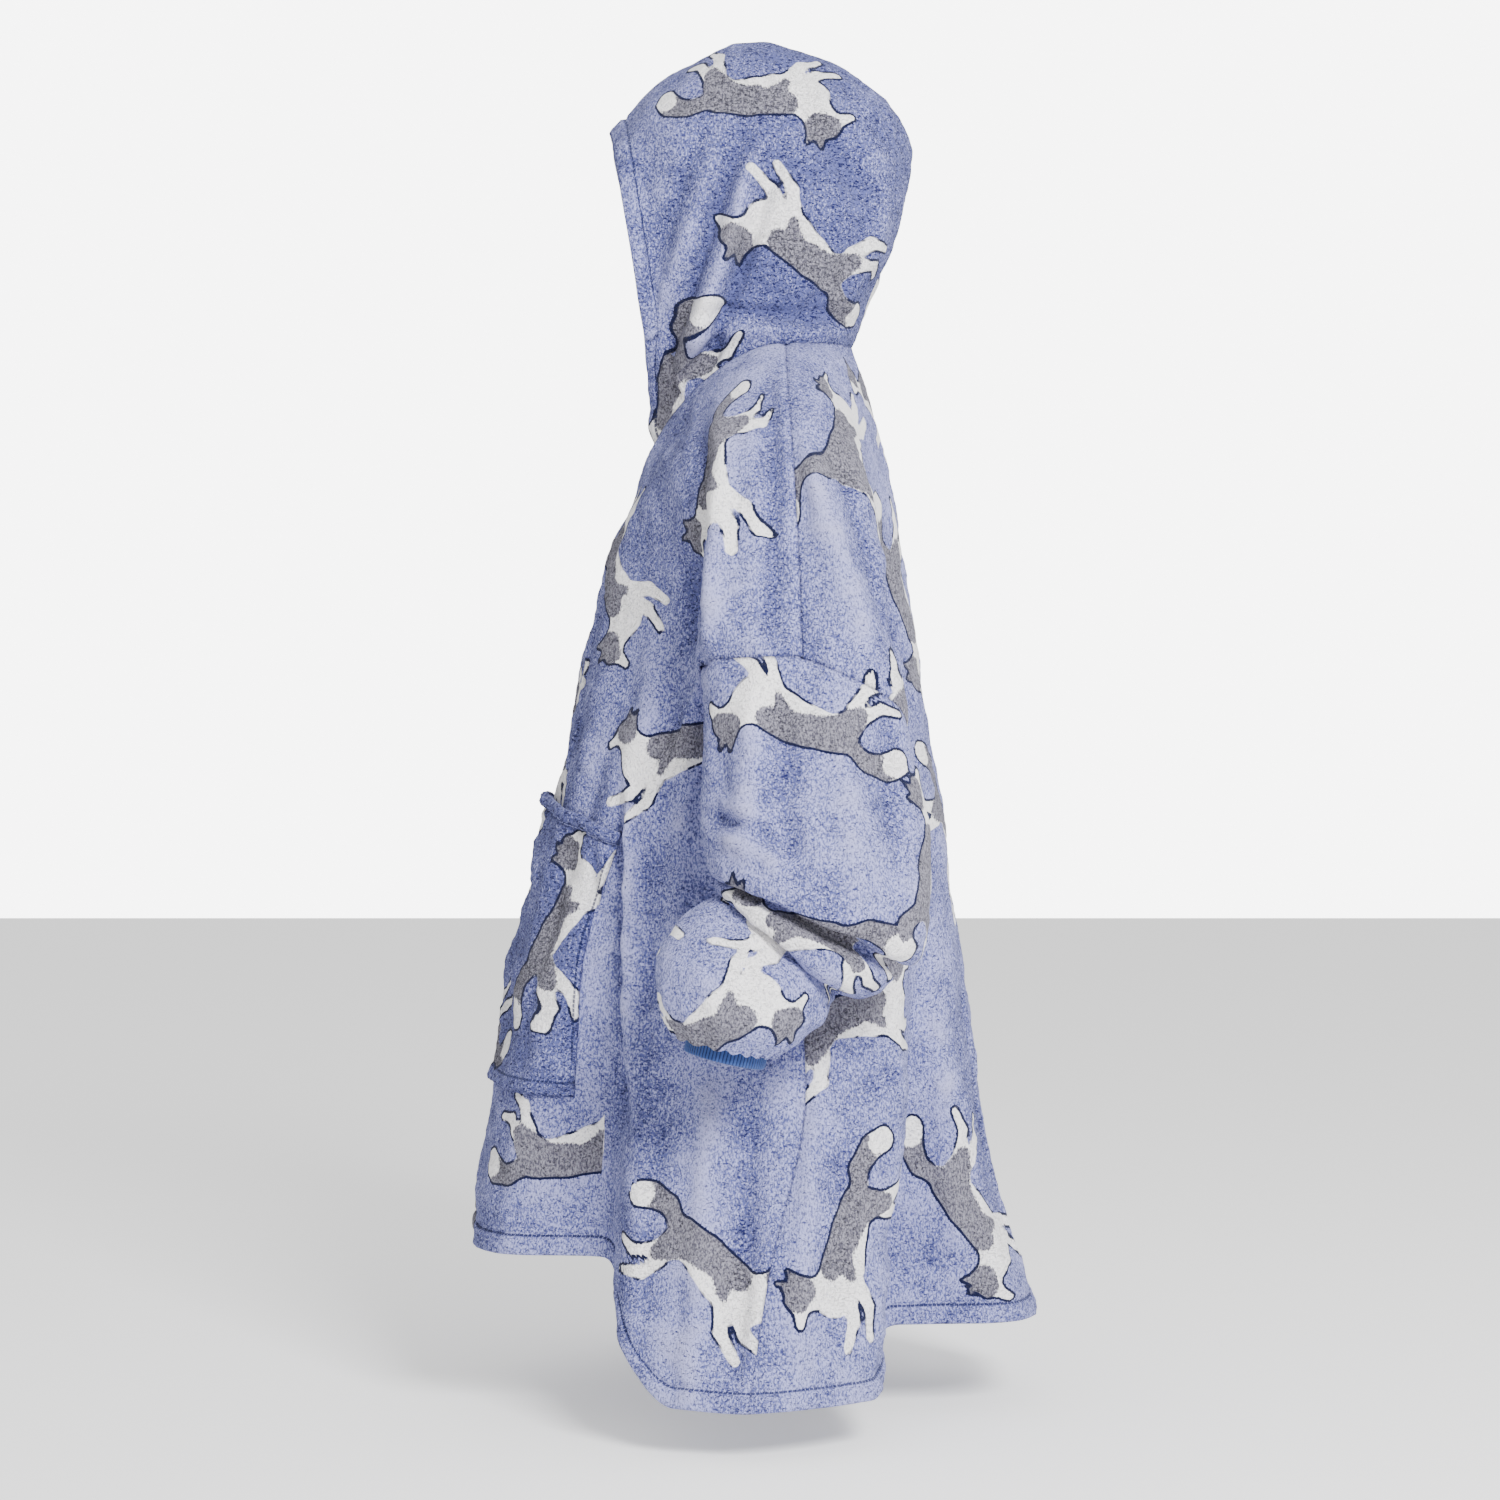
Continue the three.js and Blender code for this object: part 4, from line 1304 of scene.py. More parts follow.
@dataclass
class HoodHalf:
    """One half of the hood, from the face edge to the nape and crown seam."""

    side: Side
    grid: Grid = field(init=False)

    @property
    def name(self) -> str:
        """The piece's name."""
        return f"hood_{self.side.name.lower()}"

    @staticmethod
    def neck_point(along: np.ndarray) -> Points:
        """The neck seam, from the front's middle to the back's.

        Args:
            along: Fractions of the way.

        Returns:
            The points.
        """
        around = along * 2
        level = np.zeros_like(around)
        front = BODY.cape_point(Quarter.FRONT, Side.LEFT, np.minimum(around, 1), level)
        back = BODY.cape_point(Quarter.BACK, Side.LEFT, np.minimum(2 - around, 1), level)
        return np.where((around <= 1)[..., None], front, back)

    @staticmethod
    def seam_point(table: Table, t: np.ndarray) -> Points:
        """A point of the face edge, crown or nape.

        Args:
            table: That seam's.
            t: Fractions of its length.

        Returns:
            The points.
        """
        place = t * (len(table["y"]) - 1)
        x = np.maximum(column(table["x"], place), 0)
        return np.stack([x, column(table["y"], place), column(table["z"], place)], axis=-1)

    def surface(self, along: np.ndarray, up: np.ndarray) -> Points:
        """The hood's surface, as a patch between its edges with a domed half width.

        Args:
            along: Fractions of the way from the face edge to the back.
            up: Fractions of the way from the neck to the crown.

        Returns:
            The points, on the left.
        """
        zero, one = np.zeros_like(along), np.ones_like(along)
        bottom, top = self.neck_point(along), self.seam_point(CROWN_SEAM, along)
        face, nape = self.seam_point(FACE_EDGE, up), self.seam_point(NAPE_SEAM, up)
        lower = mix(self.neck_point(zero), self.neck_point(one), along[..., None])
        crown = (self.seam_point(CROWN_SEAM, zero), self.seam_point(CROWN_SEAM, one))
        upper = mix(*crown, along[..., None])
        patch = mix(face, nape, along[..., None]) + mix(bottom, top, up[..., None])
        patch -= mix(lower, upper, up[..., None])
        behind = np.maximum((along - HOOD_WIDEST) / (1 - HOOD_WIDEST), 0)
        round_back = np.maximum(1 - behind ** HOOD_BACK_POWER, 0) ** (1 / HOOD_BACK_POWER)
        round_top = np.maximum(1 - up ** HOOD_TOP_POWER, 0) ** (1 / HOOD_TOP_POWER)
        dome = HOOD_HALF_WIDTH * round_back * round_top
        from_face = mix(face[..., 0], dome, smooth(along / HOOD_WIDEST))
        x = mix(bottom[..., 0], from_face, smooth(up / HOOD_FILLED))
        fold = np.zeros_like(x)
        for ridge in HOOD_FOLDS:
            height = ridge.depth * bump(along - ridge.at - ridge.slant * up, ridge.width)
            height *= smooth((up - ridge.start) / HOOD_FOLD_FADE)
            fold += height * (1 - smooth((up - ridge.end) / HOOD_FOLD_FADE))
        # The hood slumps in a soft roll above the neck
        spread = smooth(along / 0.2) * (1 - smooth((along - 0.8) / 0.2))
        roll = HOOD_ROLL * bump(up - HOOD_ROLL_AT, HOOD_ROLL_WIDTH)
        roll -= HOOD_DIP * bump(up - HOOD_DIP_AT, HOOD_ROLL_WIDTH)
        fold += spread * roll
        x = np.maximum(x + fold * np.minimum(x / 40, 1), 0)
        return np.stack([x, patch[..., 1], patch[..., 2]], axis=-1)

    def __post_init__(self) -> None:
        """Works out the half's points, seams and stitches."""
        fine = np.linspace(0, 1, HOOD_TRIAL)
        trial = self.surface(*np.meshgrid(fine, fine))
        along = even_steps(fine, trial, 1, HOOD_COLUMNS)
        up = even_steps(fine, trial, 0, HOOD_ROWS)[::-1]
        points = mirrored(self.surface(*np.meshgrid(along, up)), self.side)
        grid = Grid(points)
        across = grid.across()
        down = grid.down()
        seams = np.minimum(np.minimum(down, down[-1] - down), across[:, -1:] - across)
        grid.seam_distance = seams
        grid.stitch = np.where(across < 2 * HOOD_HEM, across - HOOD_HEM, FAR)
        grid.run = down
        crease = crease_lift(self.name, points)
        # The painted shade field: fold heights, the hood's painted shade, and painted light near
        # the face edge
        near_face = smooth((PAINT_EDGE - across / across.max()) / PAINT_FADE)
        grid.fold = crease + PIECE_SHADE[self.name] + FACE_EDGE_LIGHT * near_face
        lift = crease * smooth(seams / SEAM_FADE) + seam_dip(seams)
        lift += np.where(across < 2 * HOOD_HEM, hem_rise(across, HOOD_HEM), 0)
        grid.lift = lift
        grid.points[..., 2] -= NECK_TUCK * np.exp(-((down[-1] - down) / NECK_TUCK_WIDTH) ** 2)
        self.grid = grid

    def build(self, fields: Fields) -> bpy.types.Object:
        """Makes the half's wall."""
        return wall_of(self.name, self.grid, fields, self.side is Side.RIGHT)


CUFF_RADIUS = 36.0
CUFF_HEIGHT = 46.0
CUFF_WALL = 2.5
CUFF_CENTRE = np.array([325.0, -57.0, -655.0])
CUFF_LEAN = math.radians(13.5)
CUFF_LAP = (0.42, 0.55)  # shares of the cuff's height where the sleeve turns up over it
SLEEVE_RETURN = 2.0
SLEEVE_COLUMNS = 152
ARM_ROWS = 17  # from the armhole to the first row of the sleeve's table
SLEEVE_ROWS = 121
RETURN_ROWS = 9  # from the lowest row of the blouse into the cuff
GATHERS = 19
GATHER_RISE = 1.6
GATHER_REACH = 70.0
GATHER_START = 12.0
CUFF_GAP = 1.0
CUFF_FADE = 30.0  # distance above the cuff at which creases are full
BLOUSE_STEPS = (0.2, 0.4, 0.6, 0.8)  # rows between the sleeve's table and the cuff
BLOUSE_SAG = 4.0


def cuff_point(angle: np.ndarray, radius: np.ndarray, rise: np.ndarray) -> Points:
    """A point about the left cuff's axis.

    Args:
        angle: Turn about the axis, from the front over the outer side.
        radius: Distance from the axis.
        rise: Height over the cuff's lower edge.

    Returns:
        The point.
    """
    parts = np.broadcast_arrays(np.sin(angle) * radius, -np.cos(angle) * radius, rise)
    local = np.stack(parts, axis=-1)
    turn = np.array(Matrix.Rotation(-CUFF_LEAN, 3, "X"))
    return local @ turn.T + CUFF_CENTRE


class BodySide:
    """How far out the body reaches beside the sleeves."""

    HEIGHTS = (-700.0, -330.0)
    HEIGHT_STEP = 10.0
    PLACES = (-160.0, 200.0)
    PLACE_STEP = 8.0
    COLUMNS = 61

    def __init__(self, side: Side) -> None:
        """Reads the body's profile at a row of heights.

        Args:
            side: Left or right.
        """
        self.heights = np.arange(*self.HEIGHTS, self.HEIGHT_STEP)
        self.places = np.arange(*self.PLACES, self.PLACE_STEP)
        s = np.linspace(0, 1, self.COLUMNS)
        reach = np.zeros((len(self.heights), len(self.places)))
        for quarter in Quarter:
            spread, height = np.meshgrid(s, self.heights)
            level = BODY.level_at_height(quarter, side, spread, height)
            profile = BODY.torso_point(quarter, side, spread, level)
            for row, line in enumerate(profile):
                order = np.argsort(line[:, 1])
                x = np.interp(self.places, line[order, 1], line[order, 0], left=0, right=0)
                reach[row] = np.maximum(reach[row], x)
        self.reach = reach

    def at(self, y: np.ndarray, z: np.ndarray) -> np.ndarray:
        """The reach at places beside the body.

        Args:
            y: Places from front to back.
            z: Heights.

        Returns:
            A distance from the middle for each.
        """
        rows, cols = len(self.heights) - 1, len(self.places) - 1
        row = np.clip((z - self.heights[0]) / self.HEIGHT_STEP, 0, rows - HAIR)
        col = np.clip((y - self.places[0]) / self.PLACE_STEP, 0, cols - HAIR)
        r, c = row.astype(int), col.astype(int)
        low = mix(self.reach[r, c], self.reach[r, c + 1], col - c)
        high = mix(self.reach[r + 1, c], self.reach[r + 1, c + 1], col - c)
        return mix(low, high, row - r)


@dataclass
class Sleeve:
    """A full sleeve from the armhole to the cuff, folded over the elbow and bloused."""

    side: Side
    grid: Grid = field(init=False)

    @property
    def name(self) -> str:
        """The piece's name."""
        return f"sleeve_{self.side.name.lower()}"

    def armhole(self) -> Points:
        """The armhole's ring: over the arm from front to back, then under it to the front.

        Returns:
            One point a column.
        """
        quarter = SLEEVE_COLUMNS // 4
        share = np.arange(quarter) / quarter
        rising = ARM_START + share * (1 - ARM_START)
        falling = ARM_START + (1 - share) * (1 - ARM_START)
        level = np.full(quarter, ARMHOLE_LEVEL)
        return np.concatenate([
            BODY.cape_point(Quarter.FRONT, self.side, rising, level),
            BODY.cape_point(Quarter.BACK, self.side, falling, level),
            BODY.underarm_point(Quarter.BACK, self.side, rising),
            BODY.underarm_point(Quarter.FRONT, self.side, falling),
        ])

    def ring(self, position: float, beside: BodySide) -> Points:
        """The sleeve's section at a fractional row of its table.

        Args:
            position: The row, with a fraction.
            beside: The body beside the sleeve.

        Returns:
            One point a column.
        """
        read = {name: float(column(values, position)) for name, values in SLEEVE.items()}
        angle = np.arange(SLEEVE_COLUMNS) / SLEEVE_COLUMNS * 2 * np.pi
        backward = (1 - np.cos(angle)) / 2
        x = mix(read["innerX"], read["outerX"], (1 + np.sin(angle)) / 2)
        y = mix(read["frontY"], read["backY"], backward)
        inward = np.maximum(-np.sin(angle), 0)
        z = mix(read["frontZ"], read["backZ"], backward) - read["innerDrop"] * inward ** 2
        x = np.where(inward > 0, np.maximum(x, beside.at(y, z) + SLEEVE_CLEARANCE), x)
        return np.stack([x, y, z], axis=-1)

    def __post_init__(self) -> None:
        """Works out the sleeve's points, seams and details."""
        beside = BodySide(self.side)
        top = self.armhole()
        first = self.ring(0, beside)
        rings = []
        inner = np.arange(SLEEVE_COLUMNS) > SLEEVE_COLUMNS / 2
        for t in np.linspace(0, 1, ARM_ROWS)[:-1]:
            ring = mix(top, first, t)
            reach = beside.at(ring[:, 1], ring[:, 2]) + SLEEVE_CLEARANCE * t
            if t > 0:
                ring[:, 0] = np.where(inner, np.maximum(ring[:, 0], reach), ring[:, 0])
            rings.append(ring)
        for position in np.linspace(0, len(SLEEVE["frontY"]) - 1, SLEEVE_ROWS):
            rings.append(self.ring(float(position), beside))
        angle = np.arange(SLEEVE_COLUMNS) / SLEEVE_COLUMNS * 2 * np.pi
        snug = CUFF_RADIUS + CUFF_GAP
        ends = [
            cuff_point(angle, snug + SLEEVE_RETURN + WALL, CUFF_HEIGHT * CUFF_LAP[0]),
            cuff_point(angle, snug + SLEEVE_RETURN, CUFF_HEIGHT * CUFF_LAP[1]),
            cuff_point(angle, snug, CUFF_HEIGHT - 1),
        ]
        last = rings[-1]
        for t in BLOUSE_STEPS:
            inward = mix(last, ends[0], t)
            inward[:, 2] -= BLOUSE_SAG * math.sin(math.pi * t)
            rings.append(inward)
        for start, end in zip(ends[:-1], ends[1:]):
            rings += [start, mix(start, end, 0.5)]
        rings.append(ends[-1])
        # The wall's inside takes every other row, so their number must be odd
        if len(rings) % 2 == 0:
            rings.append(cuff_point(angle, snug, CUFF_HEIGHT))
        points = mirrored(np.array(rings), self.side)
        points = np.concatenate([points, points[:, :1]], axis=1)
        grid = Grid(points, closed=True)
        down = grid.down()
        grid.seam_distance = down
        grid.run = grid.across()
        from_cuff = down[-RETURN_ROWS] - down
        full_angle = np.append(angle, 2 * np.pi)
        gather = np.cos(full_angle * GATHERS + 2 * np.sin(full_angle * 3))
        near_cuff = smooth(1 - from_cuff / GATHER_REACH)
        near_cuff *= smooth((from_cuff + GATHER_START) / GATHER_START)
        crease = crease_lift(self.name, points)
        # The painted shade field: fold heights and the piece's painted shade and light
        grid.fold = crease + PIECE_SHADE[self.name]
        lift = crease * smooth(down / SEAM_FADE) * smooth(from_cuff / CUFF_FADE)
        grid.lift = lift + seam_dip(down) + GATHER_RISE * gather * near_cuff
        self.grid = grid

    def build(self, fields: Fields) -> bpy.types.Object:
        """Makes the sleeve's wall."""
        return wall_of(self.name, self.grid, fields, self.side is Side.RIGHT)


POCKET_TOP = (-425.0, -459.0)
POCKET_BOTTOM = (-702.0, -706.0)
POCKET_REACH = 8 / 18
POCKET_SEAT = 1.2
POCKET_BULGE = 2.5
POCKET_COLUMNS = 109
POCKET_ROWS = ((0, 0.12, 13), (0.12, 0.9, 43), (0.9, 1, 9))  # start, end and count of rows
POCKET_HEM = 13.0
POCKET_HEM_FULL = 1.6
LOW_STITCH = 14.0
LOW_REACH = 30.0
LOW_RISE = 1.2
SIDE_STITCH = 5.0
EDGE_TURN = 2.5
PUCKER = 9.0  # distance between the puckers of the pocket's top
PUCKER_RISE = 0.9


@dataclass
class Pocket:
    """The wide pocket, made from the front panel's surface moved out."""

    name: str = "pocket"
    grid: Grid = field(init=False)

    def __post_init__(self) -> None:
        """Works out the pocket's points, stitches and details."""
        signed = np.linspace(-1, 1, POCKET_COLUMNS)
        upper, middle, lower = (np.linspace(*rows) for rows in POCKET_ROWS)
        t = np.concatenate([upper[:-1], middle[:-1], lower])
        share, down_share = np.meshgrid(np.abs(signed), t)
        top = mix(POCKET_TOP[0], POCKET_TOP[1], share ** 2)
        bottom = mix(POCKET_BOTTOM[0], POCKET_BOTTOM[1], share ** 2)
        height = mix(top, bottom, down_share)
        s = share * POCKET_REACH
        halves = []
        for side in Side:
            level = BODY.level_at_height(Quarter.FRONT, side, s, height)
            half = BODY.torso_point(Quarter.FRONT, side, s, level)
            halves.append(mirrored(half, side))
        points = np.where((signed >= 0)[None, :, None], halves[0], halves[1])
        base = Grid(points)
        sides = 1 - share ** 4
        fullness = np.maximum(np.sin(np.pi * np.minimum(down_share + 0.25, 1)), 0) ** 0.6
        gap = WALL + POCKET_SEAT + POCKET_BULGE * sides * fullness
        gap += np.maximum(crease_lift(Quarter.FRONT.value, points), 0)
        grid = Grid(points + base.normals() * gap[..., None])
        down = grid.down()
        across = grid.across()
        to_side = np.minimum(across, across[:, -1:] - across)
        to_bottom = down[-1] - down
        at_top = down < 2 * POCKET_HEM
        at_bottom = to_bottom < LOW_REACH
        top_hem = np.where(at_top, down - POCKET_HEM, FAR)
        low_hem = np.where(at_bottom, to_bottom - LOW_STITCH, FAR)
        side_hem = np.where(to_side < 2 * SIDE_STITCH, to_side - SIDE_STITCH, FAR)
        grid.stitch = np.where(at_top, top_hem, np.where(at_bottom, low_hem, side_hem))
        across_hem = np.minimum(np.abs(top_hem), np.abs(low_hem))
        grid.run = np.where(np.abs(side_hem) < across_hem, down, across)
        edge = np.minimum(to_side, to_bottom)
        pucker = np.cos(across * 2 * np.pi / PUCKER + 2 * np.sin(across / 17))
        near_top = smooth(1 - down / (1.6 * POCKET_HEM))
        lift = np.where(at_top, POCKET_HEM_FULL * hem_rise(down, POCKET_HEM), 0)
        lift += PUCKER_RISE * pucker * near_top
        lift += LOW_RISE * smooth((LOW_STITCH + 1 - to_bottom) / 3)
        lift -= EDGE_TURN * (1 - smooth(edge / 4))
        crease = crease_lift(self.name, points)
        # The painted shade field: fold heights and the pocket's painted shade
        grid.fold = crease + PIECE_SHADE[self.name]
        grid.lift = lift + crease
        grid.seam_distance = edge
        self.grid = grid

    def build(self, fields: Fields) -> bpy.types.Object:
        """Makes the pocket's wall."""
        return wall_of(self.name, self.grid, fields)


@dataclass
class Cuff:
    """A short tube of fine rib knit, turned over at its lower edge."""

    side: Side
    ribs: int = 72
    rib_rise: float = 0.8
    rib_columns: int = 6

    @property
    def name(self) -> str:
        """The piece's name."""
        return f"cuff_{self.side.name.lower()}"

    def build(self) -> bpy.types.Object:
        """Makes the tube, with its ribs raised outside and a rounded lower edge.

        Returns:
            The object.
        """
        columns = self.ribs * self.rib_columns
        angle = np.arange(columns) / columns * 2 * np.pi
        rib = np.abs(np.cos(angle * self.ribs / 2)) * self.rib_rise
        outer, inner = CUFF_RADIUS, CUFF_RADIUS - CUFF_WALL
        # Height, radius and share of the ribs, from the lower edge's inside round the wall
        profile = [
            (0.3, inner + 0.6, 0.0),
            (0.0, (outer + inner) / 2, 0.4),
            (0.5, outer - 0.5, 0.8),
            (2.0, outer, 1.0),
        ]
        profile += [(rise, outer, 1.0) for rise in np.linspace(6, CUFF_HEIGHT, 9)]
        profile += [(CUFF_HEIGHT, inner, 0.0), (1.5, inner, 0.0)]
        rings = [
            cuff_point(angle, radius + rib * ribbed, rise) for rise, radius, ribbed in profile
        ]
        points = mirrored(np.array(rings), self.side).reshape(-1, 3)
        faces = []
        count = len(rings)
        for r in range(count):
            row = r * columns
            after = (r + 1) % count * columns
            for c in range(columns):
                beside = (c + 1) % columns
                ring = (row + c, row + beside, after + beside, after + c)
                faces.append(ring if self.side is Side.LEFT else ring[::-1])
        mesh = bpy.data.meshes.new(self.name)
        mesh.from_pydata((points * MM).tolist(), [], faces)
        set_field(mesh, "around", np.tile(angle * self.ribs / (2 * np.pi), count))
        return add_piece(mesh)


def linear(colour: str) -> tuple[float, float, float, float]:
    """A linear colour from an sRGB hex value.

    Args:
        colour: Six hex digits after a hash sign.

    Returns:
        Red, green, blue and an alpha of 1.
    """
    values = [int(colour[k:k + 2], 16) / 255 for k in (1, 3, 5)]
    turned = [v / 12.92 if v <= 0.04045 else ((v + 0.055) / 1.055) ** 2.4 for v in values]
    return (*turned, 1.0)


class Nodes:
    """A material's node tree, built by one small function."""

    def __init__(self, name: str) -> None:
        """Starts a material with an empty tree.

        Args:
            name: The material's name.
        """
        self.material = bpy.data.materials.new(name)
        self.material.use_nodes = True
        self.tree = self.material.node_tree
        self.tree.nodes.clear()

    def add(self, kind: str, links: dict | None = None, **settings: object) -> bpy.types.Node:
        """Adds a node.

        Args:
            kind: Its Blender type.
            links: Values or other nodes' sockets for its inputs, by name or number.
            settings: Its own properties.

        Returns:
            The node.
        """
        node = self.tree.nodes.new(kind)
        for name, value in settings.items():
            setattr(node, name, value)
        for socket, value in (links or {}).items():
            if isinstance(value, bpy.types.NodeSocket):
                self.tree.links.new(value, node.inputs[socket])
            else:
                node.inputs[socket].default_value = value
        return node

    def math(self, operation: str, *values: object) -> bpy.types.NodeSocket:
        """The result of a sum."""
        return self.add("ShaderNodeMath", dict(enumerate(values)), operation=operation).outputs[0]

    def plus(self, value: object, other: object) -> bpy.types.NodeSocket:
        """Two values added."""
        return self.math("ADD", value, other)

    def minus(self, value: object, other: object) -> bpy.types.NodeSocket:
        """A value less another."""
        return self.math("SUBTRACT", value, other)

    def times(self, value: object, factor: object) -> bpy.types.NodeSocket:
        """Two values multiplied."""
        return self.math("MULTIPLY", value, factor)

    def size(self, value: object) -> bpy.types.NodeSocket:
        """A value without its sign."""
        return self.math("ABSOLUTE", value)

    def field(self, name: str) -> bpy.types.NodeSocket:
        """A float attribute of the mesh."""
        return self.add("ShaderNodeAttribute", attribute_name=name).outputs["Fac"]

    def noise(
        self,
        place: bpy.types.NodeSocket,
        size_mm: float,
        detail: float,
        roughness: float,
        distortion: float = 0.0,
    ) -> bpy.types.NodeSocket:
        """Noise whose swells are about size_mm wide.

        Args:
            place: Object coordinates.
            size_mm: Width of its swells.
            detail: How many finer layers it has.
            roughness: How strong they are.
            distortion: How far it is warped.

        Returns:
            Its value, from 0 to 1.
        """
        links = {"Vector": place, "Scale": 1000 / size_mm, "Detail": detail, "Roughness": roughness}
        links["Distortion"] = distortion
        return self.add("ShaderNodeTexNoise", links).outputs[0]

    def step(self, value: object, low: float, high: float) -> bpy.types.NodeSocket:
        """Eases from 0 at low to 1 at high."""
        links = {"Value": value, "From Min": low, "From Max": high}
        return self.add("ShaderNodeMapRange", links, interpolation_type="SMOOTHSTEP").outputs[0]

    def blend(self, share: object, low: object, high: object) -> bpy.types.NodeSocket:
        """Mixes two colours."""
        node = self.add("ShaderNodeMix", {0: share, 6: low, 7: high}, data_type="RGBA")
        return node.outputs[2]

    def relief(self, height: object, strength: float, depth_mm: float) -> bpy.types.NodeSocket:
        """A bumpy normal from a height."""
        links = {"Strength": strength, "Distance": depth_mm * MM, "Height": height}
        return self.add("ShaderNodeBump", links).outputs[0]

    def finish(self, links: dict) -> bpy.types.Material:
        """Adds the shader and the output.

        Args:
            links: Values or sockets for the shader's inputs, by name.

        Returns:
            The finished material.
        """
        shader = self.add("ShaderNodeBsdfPrincipled", links)
        self.add("ShaderNodeOutputMaterial", {"Surface": shader.outputs[0]})
        return self.material


@dataclass(frozen=True)
class Plush:
    """Coral fleece: brushed polyester pile about 3 mm long, printed, with frosted tips."""

    name: str = "coral_fleece_print"
    deep: str = "#53588D"
    light: str = "#9EA1D4"
    # Pale colour painted as light on ridges and lit pieces, and where the brushing is high
    pale_brushed_lit: str = "#AAA8C4"
    shade: str = "#3E4279"
    parting: str = "#1D204F"
    grey_deep: str = "#4C4A57"
    grey_light: str = "#8A8894"
    grey_parting: str = "#2B2A33"
    white: str = "#F4F2F3"
    white_shade: str = "#C9C7D2"
    ink: str = "#0D1233"
    thread: str = "#141B45"
    sheen: str = "#E9ECFA"
    tuft_mm: float = 1.7
    parting_mm: float = 1.8
    brush_mm: float = 38.0
    outline_mm: float = 1.25
    stitch_mm: float = 4.2
    swirl: float = 0.4  # how much the brushing varies
    # The fold field's pull, and the bands that read it below, paint shade in troughs and shaded
    # pieces and light on ridges and lit pieces
    shade_pull: float = 0.015  # how much a fold's height adds to it
    tip_pull: float = 0.62
    parted: float = 0.345
    parted_more: float = 0.09
    brushed_lit_full: float = 0.5
    sewn_full: float = 0.85
    seam_full: float = 0.45
    # Bands over which a look sets in, from none to full
    standing_and_shade: Band = (0.64, 0.32)
    parting_edge: Band = (0.05, -0.05)
    tips: Band = (0.37, 0.63)
    brushed_lit_share: Band = (0.52, 0.80)
    dash_depth_and_shade: Band = (0.52, 0.30)
    grey_tips: Band = (0.34, 0.66)
    white_tips: Band = (0.25, 0.5)
    grey_edge: Band = (0.9, -0.9)
    print_edge: Band = (0.5, -0.5)
    ink_shown: Band = (0.3, 0.55)
    stitch_width: Band = (1.6, 0.6)
    stitch_gap: Band = (0.48, 0.38)
    seam_groove: Band = (2.4, 0.2)

    def build(self) -> bpy.types.Material:
        """Makes the material.

        Returns:
            The material.
        """
        n = Nodes(self.name)
        place = n.add("ShaderNodeTexCoord").outputs["Object"]
        # The pile lies a little downwards, so its tufts are longer along the garment's height
        laid = n.add("ShaderNodeMapping", {"Vector": place, "Scale": (1, 1, 0.6)}).outputs[0]
        tufts = n.noise(laid, self.tuft_mm, 2.0, 0.6, 0.3)
        # It parts in short lines across
        across = {"Vector": place, "Scale": (0.55, 0.55, 1.15)}
        combed = n.add("ShaderNodeMapping", across).outputs[0]
        dashes = n.noise(combed, self.parting_mm, 2.0, 0.5, 0.8)
        brushed = n.noise(place, self.brush_mm, 3.0, 0.55, 0.8)
        # The brushing varies at random; the fold field adds painted light on ridges and lit
        # pieces, and painted shade in troughs and on shaded pieces
        swirl = n.plus(n.times(brushed, self.swirl), 0.5 - self.swirl / 2)
        brushing_and_shade = n.plus(swirl, n.times(n.field("fold"), self.shade_pull))
        ragged = n.times(n.minus(tufts, 0.5), 5.0)
        # More of the pile parts in dark dashes where the brushing is low and where shade is painted
        share = n.plus(n.times(n.step(brushing_and_shade, *self.standing_and_shade), self.parted_more), self.parted)
        parted = n.step(n.minus(dashes, share), *self.parting_edge)
        # Painted light: more pale tips on ridges and lit pieces, fewer where shade is painted
        paler = n.times(n.minus(brushing_and_shade, 0.5), self.tip_pull)
        tip = n.step(n.plus(tufts, paler), *self.tips)
        ground = n.blend(tip, linear(self.deep), linear(self.light))
        # Painted light: ridges and lit pieces, and high brushing, blend towards a pale flat colour
        brushed_lit_share = n.times(n.step(brushing_and_shade, *self.brushed_lit_share), self.brushed_lit_full)
        ground = n.blend(brushed_lit_share, ground, linear(self.pale_brushed_lit))
        # Painted shade: the dashes darken in troughs and on shaded pieces, and where the brushing
        # is low
        depth = n.step(brushing_and_shade, *self.dash_depth_and_shade)
        dash_depth_and_shade = n.blend(depth, linear(self.shade), linear(self.parting))
        ground = n.blend(parted, ground, dash_depth_and_shade)
        grey_tip = n.step(tufts, *self.grey_tips)
        grey = n.blend(grey_tip, linear(self.grey_deep), linear(self.grey_light))
        grey = n.blend(n.times(parted, 0.8), grey, linear(self.grey_parting))
        white_tip = n.step(tufts, *self.white_tips)
        white = n.blend(white_tip, linear(self.white_shade), linear(self.white))
        edge = n.plus(n.field("print_edge"), n.times(ragged, 0.4))
        grey_edge = n.plus(n.field("grey_edge"), n.times(ragged, 1.3))
        coat = n.blend(n.step(grey_edge, *self.grey_edge), white, grey)
        colour = n.blend(n.step(edge, *self.print_edge), ground, coat)
        # A dark blue outline, full along the back and broken along the legs
        strong = n.plus(n.field("ink"), n.times(n.minus(brushed, 0.5), 2.4))
        shown = n.step(strong, *self.ink_shown)
        line = self.outline_mm
        drawn = n.step(n.size(edge), line + 0.35, line - 0.35)
        colour = n.blend(n.times(drawn, shown), colour, linear(self.ink))
